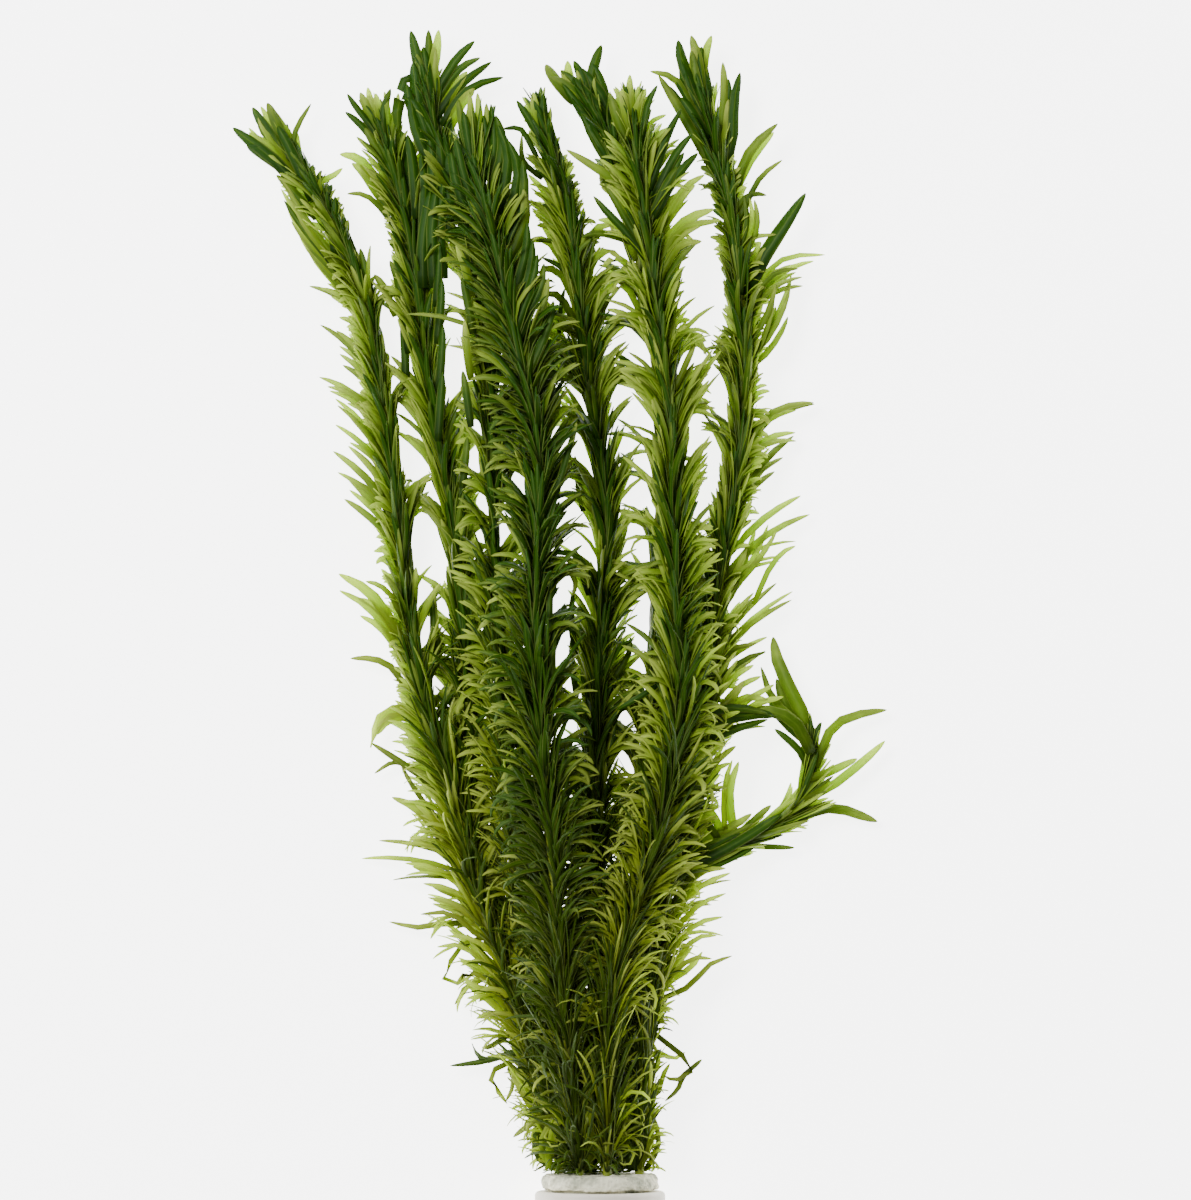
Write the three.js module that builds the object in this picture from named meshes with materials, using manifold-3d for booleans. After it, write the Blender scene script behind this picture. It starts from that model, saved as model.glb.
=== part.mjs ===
// A bunch of Brazilian waterweed lying on a surface, as it is sold for an aquarium.
// Eight leafy stems and one side shoot are held by a foam plug in a ceramic ring.
// Units are millimetres. While it is built, y = 0 is the top of the foam, y grows towards
// the growing tips, x goes across the bunch and z = 0 is the surface that it lies on.

import * as THREE from 'three';
import { mergeVertices } from 'three/addons/utils/BufferGeometryUtils.js';
import Module from 'manifold-3d';

const wasm = await Module();
wasm.setup();

// Driving dimensions
const RING_OUTER_R = 14;
const RING_INNER_R = 11.2;
const RING_TOP = -3.9;
const RING_HEIGHT = 16;
const RING_EDGE = 0.9;
const RING_SIDES = 24;
const FOAM_BULGE_R = 12.8;
const FOAM_LENGTH = 18.6;
const FOAM_SIDES = 16;
const FOAM_EDGE = 0.6;
const HOLE_SIDES = 8;
const GAP = 0.3;
const CUT_END = -19.2;
const STEM_R = 1.2;
const TIP_R = 0.65;
const TAPER_LENGTH = 45;
const STEM_SIDES = 4;
const LEAF_WIDTH = 3.3;
const YOUNG_NARROWER = 0.28;
const OLD_NARROWER = 0.16;
const LEAF_THICKNESS = 0.55;
const LEAF_BAND = 1.7;
const CROWN_LENGTH = 30;
const CROWN_SPACING = 4.3;
const MIDDLE_LENGTH = 125;
const MIDDLE_SPACING = 10.8;
const LOW_SPACING = 12;
const BARE_LENGTH = 5;
const LOWEST_WHORL_Y = 3.5;
const FREE_OF_FOAM_Y = 2;
const FIRST_WHORL = 2.2;
const LONGEST_RUN = 14;

// Where a leaf is full grown and where it is old, by its distance from the growing tip
const GROWN_AT = 24;
const OLD_FROM = 105;
const OLD_AT = 190;

// A leaf's length, and the degrees by which it opens, bends back and leans, by its age.
// A loose leaf is one that stands away from the column that the others press into.
const HABIT = {
  length: { bud: 6.5, grown: 19, old: 15, loose: 0 },
  open: { bud: 7, grown: 16, old: 38, loose: 17 },
  bend: { bud: 8, grown: 22, old: 34, loose: 22 },
  lean: { bud: 8, grown: 8, old: 28, loose: 0 },
  sag: { bud: 0.1, grown: 0.35, old: 0.35, loose: 0 },
};
const LOOSE_SHARE = 0.45;
const LEAF_STEPS = 8;
const LEAF_REST_Z = 0.45;
const ROOT_DEPTH = 0.75;
const STRAY_ARCH = 1.2;

// How wide each leafy column is beside the others
const FULLNESS = { stem_3: 1.15, stem_4: 1.4, stem_7: 1.15 };

// Least distance between the three lines of one leaf and those of another
const LEAF_CLEARANCE = 0.85;
const OWN_LEAF_CLEARANCE = 0.62;
const STEM_CLEARANCE = 0.62;
const FOAM_CLEARANCE = 0.8;

const COLOURS = {
  stem: 0x4c6d17,
  foam: 0xb9b5a6,
  ring: 0xd9d3c4,
};

// Each stem's route, from its cut end to its growing tip
const ROUTES = {
  stem_1: [[-8.6, CUT_END, 12], [-8.6, -8, 12], [-9, 4, 12], [-13.2, 22, 11], [-18, 36, 9.5],
    [-23, 50, 8.5], [-27.2, 62, 8], [-31, 80, 8], [-36, 95, 8], [-39.5, 110, 8], [-42.2, 130, 8],
    [-44.2, 148, 8], [-46.8, 166, 7.5], [-49.5, 184, 7.5], [-54.5, 198, 7.5], [-61, 211, 7],
    [-67.5, 220.5, 6]],
  stem_2: [[-6, CUT_END, 7.8], [-6, -8, 7.8], [-6.5, 4, 7.6], [-11.5, 22, 6.5], [-18, 42, 5.8],
    [-24.5, 60, 5.5], [-27.6, 76, 5.5], [-28.4, 94, 5.5], [-29, 112, 5.5], [-30.6, 130, 5.5],
    [-33, 148, 6], [-36, 165, 6.5], [-38.6, 185, 7], [-41.2, 203, 7], [-44.6, 216, 7],
    [-47.6, 225, 6.5]],
  stem_3: [[-2.2, CUT_END, 5.7], [-2.2, -8, 5.7], [-2.6, 4, 5.8], [-6.5, 22, 6], [-12, 42, 7.5],
    [-16.5, 62, 9.5], [-19.6, 84, 11.5], [-21.4, 108, 12.5], [-22.4, 132, 12.5],
    [-23, 155, 12], [-24, 175, 11], [-26, 193, 10], [-30, 209, 9], [-34.8, 222, 8.5],
    [-37.4, 234, 8]],
  stem_4: [[-4.2, CUT_END, 20.6], [-4.2, -8, 20.6], [-4.6, 4, 20.8], [-6.6, 24, 22.5],
    [-8.6, 46, 24.5], [-10.4, 70, 24.5], [-12.6, 94, 23.5], [-14, 116, 22.5], [-13.2, 138, 21.5],
    [-13.2, 157, 20.5], [-17.4, 176, 19], [-21.4, 194, 17], [-24.8, 208, 14.5], [-28, 219, 12]],
  stem_5: [[-1.6, CUT_END, 13.2], [-1.6, -8, 13.2], [-1.5, 4, 13.1], [-0.8, 24, 12],
    [-0.4, 48, 9.5], [-1, 74, 7.5], [-0.8, 98, 6.8], [0.9, 122, 6.8], [1, 146, 6.8],
    [-2.4, 168, 7], [-4.2, 186, 7.5], [-6.6, 205, 8], [-10.6, 220, 8], [-12.6, 227, 7.5]],
  stem_6: [[3.4, CUT_END, 6.3], [3.4, -8, 6.3], [3.6, 4, 6.2], [5.2, 24, 5.8], [7.5, 48, 5.5],
    [9.5, 74, 5.6], [11, 98, 6], [12, 122, 6.2], [13, 146, 6.2], [12.6, 168, 6.4], [9.6, 190, 7],
    [6.2, 208, 7.5], [2.4, 221, 7.5], [-3.6, 231, 7]],
  stem_7: [[1.6, CUT_END, 21.6], [1.6, -8, 21.6], [1.5, 4, 21.7], [1.4, 20, 22.3],
    [2, 35, 22.6], [6, 52, 22], [11.5, 68, 21], [15, 84, 20], [17.2, 100, 19.5], [16.6, 118, 19],
    [15.8, 138, 18.5], [15.2, 160, 18], [12.8, 181, 16.5], [10.4, 200, 14.5], [8.4, 216, 12.5],
    [6.8, 228, 11]],
  stem_8: [[8.4, CUT_END, 15.5], [8.4, -8, 15.5], [8.6, 4, 15.4], [9.6, 24, 14.6],
    [11.6, 46, 13.5], [15.2, 64, 12.4], [18.6, 80, 11.6], [21.6, 98, 11], [24, 116, 10.6],
    [27, 134, 10.2], [29.6, 150, 10], [31, 168, 9.6], [30.4, 185, 9.2], [28.6, 202, 9],
    [25.4, 218, 8.6], [21.8, 232, 8]],
  side_shoot: [[17.5, 65.6, 11.8], [21.6, 67.2, 10.5], [27.7, 69.8, 8.6], [35.6, 73.4, 7],
    [41, 77, 6.2], [43.8, 82.6, 6], [44.8, 88, 6.2], [45.6, 93, 6.6]],
};

// Leaves that stand out of the leafy columns. Each has the height of its root on the stem,
// its tip's x, y and z, and how far its middle bows to the left of the line to its tip.
const STRAYS = {
  stem_1: [[213, -78.5, 224.5, 4, 0.5], [214, -74.5, 228.5, 5, 0.3], [215, -71.5, 229.8, 7, 0],
    [213, -62.5, 229, 8, -0.6], [203, -68.5, 211.5, 4, -1], [202, -55.5, 215.5, 9, 1],
    [193, -53.8, 206, 9, 0.6], [186, -49.4, 199.2, 9, 0.5], [181, -64.5, 192, 4, -2],
    [168, -60.3, 182.3, 3, -1.9], [158, -60.5, 171, 3, -2.5], [151, -57, 166.3, 5, -1.5],
    [140, -57.5, 155, 3, -1.5], [135, -55, 150, 4, -1], [117, -56.5, 129, 4, -2.5],
    [112, -56, 125, 2.5, -2], [98, -53.5, 110.3, 2.5, -3.8], [97, -49.2, 91.5, 3, -6],
    [88, -48.3, 92.3, 6, 0.5], [80, -42.5, 86.2, 7, -1], [75, -44.3, 80.3, 2.5, -2],
    [64, -51.3, 67.2, 2, -1.5], [66, -40.7, 72.2, 5, -1], [50, -45.5, 53.8, 2, 0.5],
    [54, -38.8, 57.8, 5, -1], [40, -31.5, 36.2, 3, -3], [26, -32, 22.7, 2, 1],
    [22, -20, 14.6, 3, -5], [12, -18.3, 7.2, 4, 1]],
  stem_2: [[215, -54.5, 232, 5, 0], [218, -50, 233.3, 8, 0], [217, -45, 233, 9, 0],
    [211, -54.5, 227.5, 4, -1], [204, -54.8, 218.5, 6, -3], [198, -54, 210.5, 4, -2.5],
    [178, -49.5, 191.8, 9, -1], [163, -45, 175.5, 6, -1], [146, -44.3, 159.5, 5, -2],
    [127, -38.8, 143.5, 7, -3], [116, -39.4, 128.4, 5, -2.5]],
  stem_3: [[228, -40.5, 245, 7, 0], [230, -37, 246.2, 9, 0], [229, -34.6, 245.6, 7, 0],
    [226, -27, 243, 7, -1], [222, -25.6, 238.6, 6, -1.5], [221, -43, 234.5, 6, -1]],
  stem_4: [[216, -28, 232.3, 10, 0], [214, -22.8, 229.3, 10, 0], [206, -19.8, 220.3, 11, 1],
    [194, -15.8, 208, 12, 1], [201, -34, 214.5, 10, -1.5]],
  stem_5: [[215, -20.5, 230.5, 6, -0.5], [218, -17.3, 231, 8, 0], [219, -13.5, 232.4, 8, 0],
    [208, -21, 224.5, 5, -1.5]],
  stem_6: [[223, -11.7, 237.2, 6, -0.5], [225, -7, 239, 8, 0], [226, 0.2, 242.2, 8, 0.8]],
  stem_7: [[217, 2, 231.3, 11, 0], [219, 6.4, 235.7, 12, 0], [217, 12.3, 233.3, 10, 0.5],
    [213, 17, 228, 9, 1], [208, 20.3, 223.2, 9, 1.5], [199, 22, 213, 9, 1.5],
    [190, 25.6, 204.2, 9, 2], [206, -7, 219.2, 9, -1.5], [197, -1.2, 209.2, 9, -1.5],
    [158, 26, 176.5, 14, 1.5], [104, 5.5, 118, 15, -2]],
  stem_8: [[228, 17, 243.2, 7, 0], [230, 20.2, 244.6, 9, 0], [228, 24, 244.2, 8, 0],
    [221, 11, 236.6, 6, 0.5], [222, 26.6, 238.3, 9, 0.5], [218, 29.7, 236.3, 6, -0.5],
    [211, 37.4, 225.4, 6, 1.5], [202, 39.3, 217.2, 5, 1.5], [194, 44.2, 210.3, 4, 2],
    [183, 48, 197.2, 4, 3], [175, 41.2, 193, 6, -1.5], [151, 46.2, 165.2, 3, 4.2],
    [143, 41.7, 158.3, 4, 1.5], [132, 43.2, 145.4, 5, 1.5], [128, 45.2, 141.4, 3, 2],
    [121, 36.2, 139.2, 6, -1], [111, 38, 126.6, 5, 1], [109, 41.5, 124.8, 3, 1.5],
    [97, 35.6, 112, 5, 2], [86, 36.5, 98.6, 8, 4], [76, 27.2, 92.6, 7, 0.5],
    [52, 28.2, 62.6, 4, 3], [44, 26.5, 50.6, 3, 4], [36, 28.2, 46.4, 3, 2.5],
    [30, 23.6, 41, 6, 1], [30, 14.3, 15.8, 3, 7], [14, 22.4, 24, 3, 1]],
  side_shoot: [[92.5, 37.6, 114.6, 4, 0.8], [88, 34.6, 108.5, 3, 1.2], [83, 38, 95.4, 5, 1],
    [85, 61.6, 99.3, 3, 4.2], [80, 62.3, 93.4, 4, 0.5], [78, 56.8, 87, 5, -1.2],
    [75.5, 59.8, 75.3, 2.5, 2.3], [72, 36.5, 79.5, 6, -0.5], [70.5, 28, 86, 7, -0.8],
    [69.6, 22.4, 79, 8, 0.8], [72.5, 41.5, 69.2, 3, 1]],
};

const UP = new THREE.Vector3(0, 0, 1);

// Each stem's leaves draw their numbers from a range of their own
const SEED_STEP = 97;
const SEARCH_STEP = 0.5;

// A repeatable number from 0 to 1
function chance(seed) {
  const wave = Math.sin(seed * 12.9898) * 43758.5453;
  return wave - Math.floor(wave);
}

function ramp(value, from, to) {
  return Math.min(Math.max((value - from) / (to - from), 0), 1);
}

// Stems: a stem's middle line, and where things stand on it

class Stem {
  constructor(name, number, points) {
    this.name = name;
    this.number = number;
    this.curve = new THREE.CatmullRomCurve3(
      points.map(([x, y, z]) => new THREE.Vector3(x, y, z)), false, 'catmullrom', 0.5);
    this.curve.arcLengthDivisions = 400;
    this.length = this.curve.getLength();
  }

  // The middle, direction and sideways and upward axes at a distance from the growing tip
  at(fromTip) {
    const u = 1 - Math.min(Math.max(fromTip / this.length, 0), 1);
    const centre = this.curve.getPointAt(u);
    const along = this.curve.getTangentAt(u);
    const side = new THREE.Vector3().crossVectors(along, UP).normalize();
    const up = new THREE.Vector3().crossVectors(side, along).normalize();
    return { centre, along, side, up };
  }

  radius(fromTip) {
    return TIP_R + (STEM_R - TIP_R) * ramp(fromTip, 0, TAPER_LENGTH);
  }

  fromTipAtHeight(y) {
    let best = 0;
    let least = Infinity;
    for (let d = 0; d < this.length; d += SEARCH_STEP) {
      const away = Math.abs(this.at(d).centre.y - y);
      if (away < least) {
        least = away;
        best = d;
      }
    }
    return best;
  }

  // The whorls' distances from the growing tip, the lowest first
  whorls() {
    const found = [];
    let d = FIRST_WHORL;
    while (d < this.length - BARE_LENGTH) {
      if (this.at(d + LEAF_BAND).centre.y < LOWEST_WHORL_Y) break;
      found.push(d);
      const crown = ramp(d, CROWN_LENGTH * 0.7, CROWN_LENGTH * 1.3);
      const low = ramp(d, MIDDLE_LENGTH * 0.85, MIDDLE_LENGTH * 1.15);
      d += CROWN_SPACING + (MIDDLE_SPACING - CROWN_SPACING) * crown
        + (LOW_SPACING - MIDDLE_SPACING) * low;
    }
    return found.reverse();
  }
}

// Leaves: the middle line of one leaf, as points from its root to its tip

function byAge(kind, young, old, loose) {
  const { bud, grown, old: aged, loose: more } = HABIT[kind];
  return bud + (grown - bud) * young + (aged - grown) * old + more * loose * young;
}

function growLine(slot, seed, change) {
  const { frame, azimuth, fromTip } = slot;
  const out = new THREE.Vector3()
    .addScaledVector(frame.side, Math.cos(azimuth))
    .addScaledVector(frame.up, Math.sin(azimuth));
  const across = new THREE.Vector3().crossVectors(frame.along, out);
  const young = ramp(fromTip, 0, GROWN_AT);
  const old = ramp(fromTip, OLD_FROM, OLD_AT);
  const loose = chance(seed + 0.3) < LOOSE_SHARE ? 1 : 0;
  const full = (FULLNESS[slot.stem.name] ?? 1) * change.open;
  const vary = (low, high, shift) => low + (high - low) * chance(seed + shift);
  const length = byAge('length', young, old, loose) * vary(0.88, 1.12, 0) * change.length;
  const open = byAge('open', young, old, loose) * vary(0.75, 1.25, 0.7) * full;
  const bend = byAge('bend', young, old, loose) * vary(0.6, 1.4, 1.1) * full;
  const lean = byAge('lean', young, old, loose) * vary(-1, 1, 1.9) + change.lean;
  const sag = byAge('sag', young, old, loose);
  const points = [frame.centre.clone().addScaledVector(out, slot.radius * ROOT_DEPTH)];
  for (let i = 0; i < LEAF_STEPS; i += 1) {
    const u = (i + 0.5) / LEAF_STEPS;
    const angle = THREE.MathUtils.degToRad(open + bend * u ** 1.4);
    const sideways = THREE.MathUtils.degToRad(lean * u);
    const step = new THREE.Vector3()
      .addScaledVector(frame.along, Math.cos(angle) * Math.cos(sideways))
      .addScaledVector(out, Math.sin(angle) * Math.cos(sideways))
      .addScaledVector(across, Math.sin(sideways));
    step.z -= sag * u;
    const next = points[i].clone().addScaledVector(step.normalize(), length / LEAF_STEPS);
    next.z = Math.max(next.z, LEAF_REST_Z);
    points.push(next);
  }
  const width = LEAF_WIDTH * (1 - YOUNG_NARROWER * (1 - young) - OLD_NARROWER * old);
  return { points, across, width };
}

// A leaf that bows from its root to a tip of its own
function strayLine(slot, tip, bow, lift) {
  const { frame } = slot;
  const end = new THREE.Vector3(tip[0], tip[1], tip[2] + lift);
  const out = end.clone().sub(frame.centre);
  out.addScaledVector(frame.along, -out.dot(frame.along)).normalize();
  const root = frame.centre.clone().addScaledVector(out, slot.radius * ROOT_DEPTH);
  const run = end.clone().sub(root);
  const left = new THREE.Vector3(-run.y, run.x, 0).normalize();
  const middle = root.clone().lerp(end, 0.5).addScaledVector(left, bow);
  middle.z += STRAY_ARCH + lift * 0.5;
  const control = middle.multiplyScalar(2).addScaledVector(root, -0.5).addScaledVector(end, -0.5);
  const points = new THREE.QuadraticBezierCurve3(root, control, end).getPoints(LEAF_STEPS);
  points.forEach((point) => { point.z = Math.max(point.z, LEAF_REST_Z); });
  const across = new THREE.Vector3().crossVectors(frame.along, out);
  return { points, across, width: LEAF_WIDTH };
}

// A leaf's cross-sections: left edge, right edge and the ridge of its upper side
function leafSections(line, shares) {
  const last = line.points.length - 1;
  return shares.map(([u, widthShare]) => {
    const index = Math.round(u * last);
    const centre = line.points[index];
    const along = line.points[index + 1].clone().sub(line.points[index - 1]).normalize();
    const across = line.across.clone().addScaledVector(along, -line.across.dot(along)).normalize();
    const upper = new THREE.Vector3().crossVectors(along, across);
    const half = line.width * widthShare / 2;
    const corners = [
      centre.clone().addScaledVector(across, -half).addScaledVector(upper, -LEAF_THICKNESS / 3),
      centre.clone().addScaledVector(across, half).addScaledVector(upper, -LEAF_THICKNESS / 3),
      centre.clone().addScaledVector(upper, LEAF_THICKNESS * 2 / 3),
    ];
    const lowest = Math.min(...corners.map((corner) => corner.z));
    const lift = Math.max(-lowest, 0);
    corners.forEach((corner) => { corner.z += lift; });
    return corners;
  });
}

// Clearance: each leaf and stem is kept as lines that others stay away from

const kept = [];

function lineDistance(p, q, r, s) {
  const d1 = q.clone().sub(p);
  const d2 = s.clone().sub(r);
  const gap = p.clone().sub(r);
  const a = d1.dot(d1);
  const e = d2.dot(d2);
  const f = d2.dot(gap);
  const c = d1.dot(gap);
  const b = d1.dot(d2);
  const bottom = a * e - b * b;
  let along = bottom > 1e-9 ? Math.min(Math.max((b * f - c * e) / bottom, 0), 1) : 0;
  let other = (b * along + f) / e;
  if (other < 0) {
    other = 0;
    along = Math.min(Math.max(-c / a, 0), 1);
  } else if (other > 1) {
    other = 1;
    along = Math.min(Math.max((b - c) / a, 0), 1);
  }
  const near = p.clone().addScaledVector(d1, along);
  return near.distanceTo(r.clone().addScaledVector(d2, other));
}

function boxOf(lines) {
  const box = new THREE.Box3();
  lines.forEach((line) => line.forEach((point) => box.expandByPoint(point)));
  return box;
}

function linesClose(some, others, limit) {
  for (const one of some) {
    for (const two of others) {
      for (let i = 1; i < one.length; i += 1) {
        for (let j = 1; j < two.length; j += 1) {
          if (lineDistance(one[i - 1], one[i], two[j - 1], two[j]) < limit) return true;
        }
      }
    }
  }
  return false;
}

// The left edge, middle and right edge of a leaf, without its first part at the stem
function leafLines(base, sections, tip) {
  const edges = [0, 1, 2].map((corner) => {
    const start = base[corner].clone().lerp(sections[0][corner], 0.3);
    return [start, ...sections.map((section) => section[corner]), tip];
  });
  return edges;
}

function isFree(owner, lines) {
  const box = boxOf(lines);
  for (const thing of kept) {
    let limit = LEAF_CLEARANCE;
    if (thing.owner === owner) limit = OWN_LEAF_CLEARANCE;
    if (thing.radius) limit = thing.radius + STEM_CLEARANCE;
    if (thing.owner === owner && thing.radius) continue;
    const near = thing.box.clone().expandByScalar(limit);
    if (near.intersectsBox(box) && linesClose(lines, thing.lines, limit)) return false;
  }
  return lines.every((line) => line.every((point) => point.y > FOAM_CLEARANCE));
}

// One stem's solid: rings of corners, with a leaf grown from each triangle that points up

class Skin {
  constructor() {
    this.corners = [];
    this.faces = [];
  }

  add(point) {
    this.corners.push(point);
    return this.corners.length - 1;
  }

  ring(frame, radius, turn) {
    const ring = [];
    for (let j = 0; j < STEM_SIDES; j += 1) {
      const angle = turn + (2 * Math.PI * j) / STEM_SIDES;
      ring.push(this.add(frame.centre.clone()
        .addScaledVector(frame.side, Math.cos(angle) * radius)
        .addScaledVector(frame.up, Math.sin(angle) * radius)));
    }
    return ring;
  }

  tube(lower, upper) {
    for (let j = 0; j < STEM_SIDES; j += 1) {
      const k = (j + 1) % STEM_SIDES;
      this.faces.push([lower[k], lower[j], upper[j]], [lower[k], upper[j], upper[k]]);
    }
  }

  leaf(base, sections, tip) {
    let from = base;
    sections.forEach((section) => {
      const to = section.map((corner) => this.add(corner));
      for (let i = 0; i < 3; i += 1) {
        const k = (i + 1) % 3;
        this.faces.push([from[i], from[k], to[k]], [from[i], to[k], to[i]]);
      }
      from = to;
    });
    const end = this.add(tip);
    for (let i = 0; i < 3; i += 1) this.faces.push([from[i], from[(i + 1) % 3], end]);
  }

  geometry() {
    const geometry = new THREE.BufferGeometry();
    const flat = this.corners.flatMap((corner) => [corner.x, corner.y, corner.z]);
    geometry.setAttribute('position', new THREE.Float32BufferAttribute(flat, 3));
    geometry.setIndex(this.faces.flat());
    return geometry;
  }
}

// The rings of a stem and the places on it that can bear a leaf
function layOutStem(stem) {
  const skin = new Skin();
  const slots = [];
  const turnStep = Math.PI / STEM_SIDES;
  let turn = chance(stem.number + 0.5) * Math.PI;
  const firstRing = skin.ring(stem.at(stem.length), STEM_R, turn);
  let below = firstRing;
  let belowAt = stem.length;
  if (stem.at(stem.length).centre.y < 0) {
    const collarTop = stem.fromTipAtHeight(FREE_OF_FOAM_Y);
    below = skin.ring(stem.at(collarTop), STEM_R, turn);
    skin.tube(firstRing, below);
    belowAt = collarTop;
  }
  for (const whorl of stem.whorls()) {
    const bandBottom = whorl + LEAF_BAND;
    if (belowAt - bandBottom > 1) {
      const stretch = Math.ceil((belowAt - bandBottom) / LONGEST_RUN);
      for (let i = 1; i <= stretch; i += 1) {
        const d = belowAt + ((bandBottom - belowAt) * i) / stretch;
        const ring = skin.ring(stem.at(d), stem.radius(d), turn);
        skin.tube(below, ring);
        below = ring;
      }
    }
    const frame = stem.at(whorl);
    const radius = stem.radius(whorl);
    const upper = skin.ring(frame, radius, turn + turnStep);
    for (let j = 0; j < STEM_SIDES; j += 1) {
      const k = (j + 1) % STEM_SIDES;
      skin.faces.push([below[k], upper[j], upper[k]]);
      slots.push({
        stem,
        skin,
        frame,
        radius,
        fromTip: whorl,
        azimuth: turn + turnStep + (2 * Math.PI * j) / STEM_SIDES,
        base: [below[k], below[j], upper[j]],
        filled: false,
      });
    }
    below = upper;
    belowAt = whorl;
    turn += turnStep;
  }
  const apex = skin.add(stem.at(0).centre);
  for (let j = 0; j < STEM_SIDES; j += 1) {
    skin.faces.push([below[(j + 1) % STEM_SIDES], below[j], apex]);
    if (j > 1) skin.faces.push([firstRing[0], firstRing[j - 1], firstRing[j]]);
  }
  return { stem, skin, slots };
}

function tryLeaf(slot, line, shares) {
  const sections = leafSections(line, shares);
  const tip = line.points[line.points.length - 1];
  const base = slot.base.map((index) => slot.skin.corners[index]);
  const lines = leafLines(base, sections, tip);
  if (!isFree(slot.stem.name, lines)) return false;
  slot.skin.leaf(slot.base, sections, tip);
  slot.filled = true;
  kept.push({ owner: slot.stem.name, lines, box: boxOf(lines) });
  return true;
}

// Where a leaf's cross-sections stand: share of its length, share of its width
const STRAY_SHARES = [[0.375, 1], [0.75, 0.72]];
const LEAF_SHARES = [[0.5, 1]];
// How far a traced leaf's tip may rise or sink to pass its neighbours
const STRAY_LIFTS = [0, 1.5, -1.5, 3.5, 6];
const STRAY_CHOICES = 4;
const AWAY_COST = 0.12;

function growStray(plan, [height, x, y, z, bow]) {
  const wanted = plan.stem.fromTipAtHeight(height);
  const tip = new THREE.Vector3(x, y, z);
  const choices = plan.slots.filter((slot) => !slot.filled).map((slot) => {
    const out = tip.clone().sub(slot.frame.centre).normalize();
    const facing = out.dot(slot.frame.side) * Math.cos(slot.azimuth)
      + out.dot(slot.frame.up) * Math.sin(slot.azimuth);
    return { slot, cost: Math.abs(slot.fromTip - wanted) * AWAY_COST - facing };
  });
  choices.sort((one, two) => one.cost - two.cost);
  for (const { slot } of choices.slice(0, STRAY_CHOICES)) {
    for (const lift of STRAY_LIFTS) {
      const line = strayLine(slot, [x, y, z], bow, lift);
      if (tryLeaf(slot, line, STRAY_SHARES)) return;
    }
  }
}

// What a leaf tries in turn until it is free of the others
const CHANGES = [
  { length: 1, open: 1, lean: 0 },
  { length: 1, open: 0.7, lean: 12 },
  { length: 1, open: 1.3, lean: -12 },
  { length: 0.85, open: 0.8, lean: -20 },
  { length: 0.85, open: 1.5, lean: 18 },
  { length: 0.65, open: 1.1, lean: 0 },
];

function growLeaf(slot, seed) {
  for (const change of CHANGES) {
    const line = growLine(slot, seed, change);
    if (tryLeaf(slot, line, LEAF_SHARES)) return;
  }
}

function closeSlot(slot) {
  if (!slot.filled) slot.skin.faces.push(slot.base);
}

function makeStems() {
  const plans = Object.entries(ROUTES).map(([name, points], number) => {
    const stem = new Stem(name, number, points);
    return layOutStem(stem);
  });
  for (const { stem } of plans) {
    const line = stem.curve.getSpacedPoints(70);
    kept.push({ owner: stem.name, lines: [line], box: boxOf([line]), radius: STEM_R });
  }
  for (const plan of plans) {
    (STRAYS[plan.stem.name] ?? []).forEach((stray) => growStray(plan, stray));
  }
  for (const plan of plans) {
    plan.slots.filter((slot) => !slot.filled).forEach((slot, index) => {
      growLeaf(slot, plan.stem.number * SEED_STEP + index);
    });
    plan.slots.forEach(closeSlot);
  }
  return plans;
}

// The foam plug and the ring lie on their side: their axis runs along y, as high as the ring's
// radius above the surface

function onItsSide(profile, sides) {
  const outline = profile.map(([r, y]) => new THREE.Vector2(r, y));
  const geometry = new THREE.LatheGeometry(outline, sides);
  geometry.translate(0, 0, RING_OUTER_R);
  return geometry;
}

function ringGeometry() {
  const bottom = RING_TOP - RING_HEIGHT;
  const profile = [
    [RING_INNER_R + RING_EDGE, bottom],
    [RING_OUTER_R - RING_EDGE, bottom],
    [RING_OUTER_R, bottom + RING_EDGE],
    [RING_OUTER_R, RING_TOP - RING_EDGE],
    [RING_OUTER_R - RING_EDGE, RING_TOP],
    [RING_INNER_R + RING_EDGE, RING_TOP],
    [RING_INNER_R, RING_TOP - RING_EDGE],
    [RING_INNER_R, bottom + RING_EDGE],
    [RING_INNER_R + RING_EDGE, bottom],
  ];
  return onItsSide(profile, RING_SIDES);
}

function foamGeometry() {
  const shaftR = RING_INNER_R - GAP;
  const seat = RING_TOP + GAP;
  const profile = [
    [0, -FOAM_LENGTH],
    [shaftR - FOAM_EDGE, -FOAM_LENGTH],
    [shaftR, -FOAM_LENGTH + FOAM_EDGE],
    [shaftR, seat],
    [FOAM_BULGE_R - FOAM_EDGE, seat],
    [FOAM_BULGE_R, seat + 2 * FOAM_EDGE],
    [FOAM_BULGE_R - FOAM_EDGE / 2, -2 * FOAM_EDGE],
    [FOAM_BULGE_R - 2.5 * FOAM_EDGE, 0],
    [0, 0],
  ];
  let foam = toSolid(onItsSide(profile, FOAM_SIDES));
  const holeR = (STEM_R + GAP) / Math.cos(Math.PI / HOLE_SIDES);
  for (const [name, points] of Object.entries(ROUTES)) {
    if (name === 'side_shoot') continue;
    const hole = new THREE.CylinderGeometry(holeR, holeR, FOAM_LENGTH * 2, HOLE_SIDES);
    hole.translate(points[0][0], -FOAM_LENGTH / 2, points[0][2]);
    foam = foam.subtract(toSolid(hole));
  }
  return fromSolid(foam);
}

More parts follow.
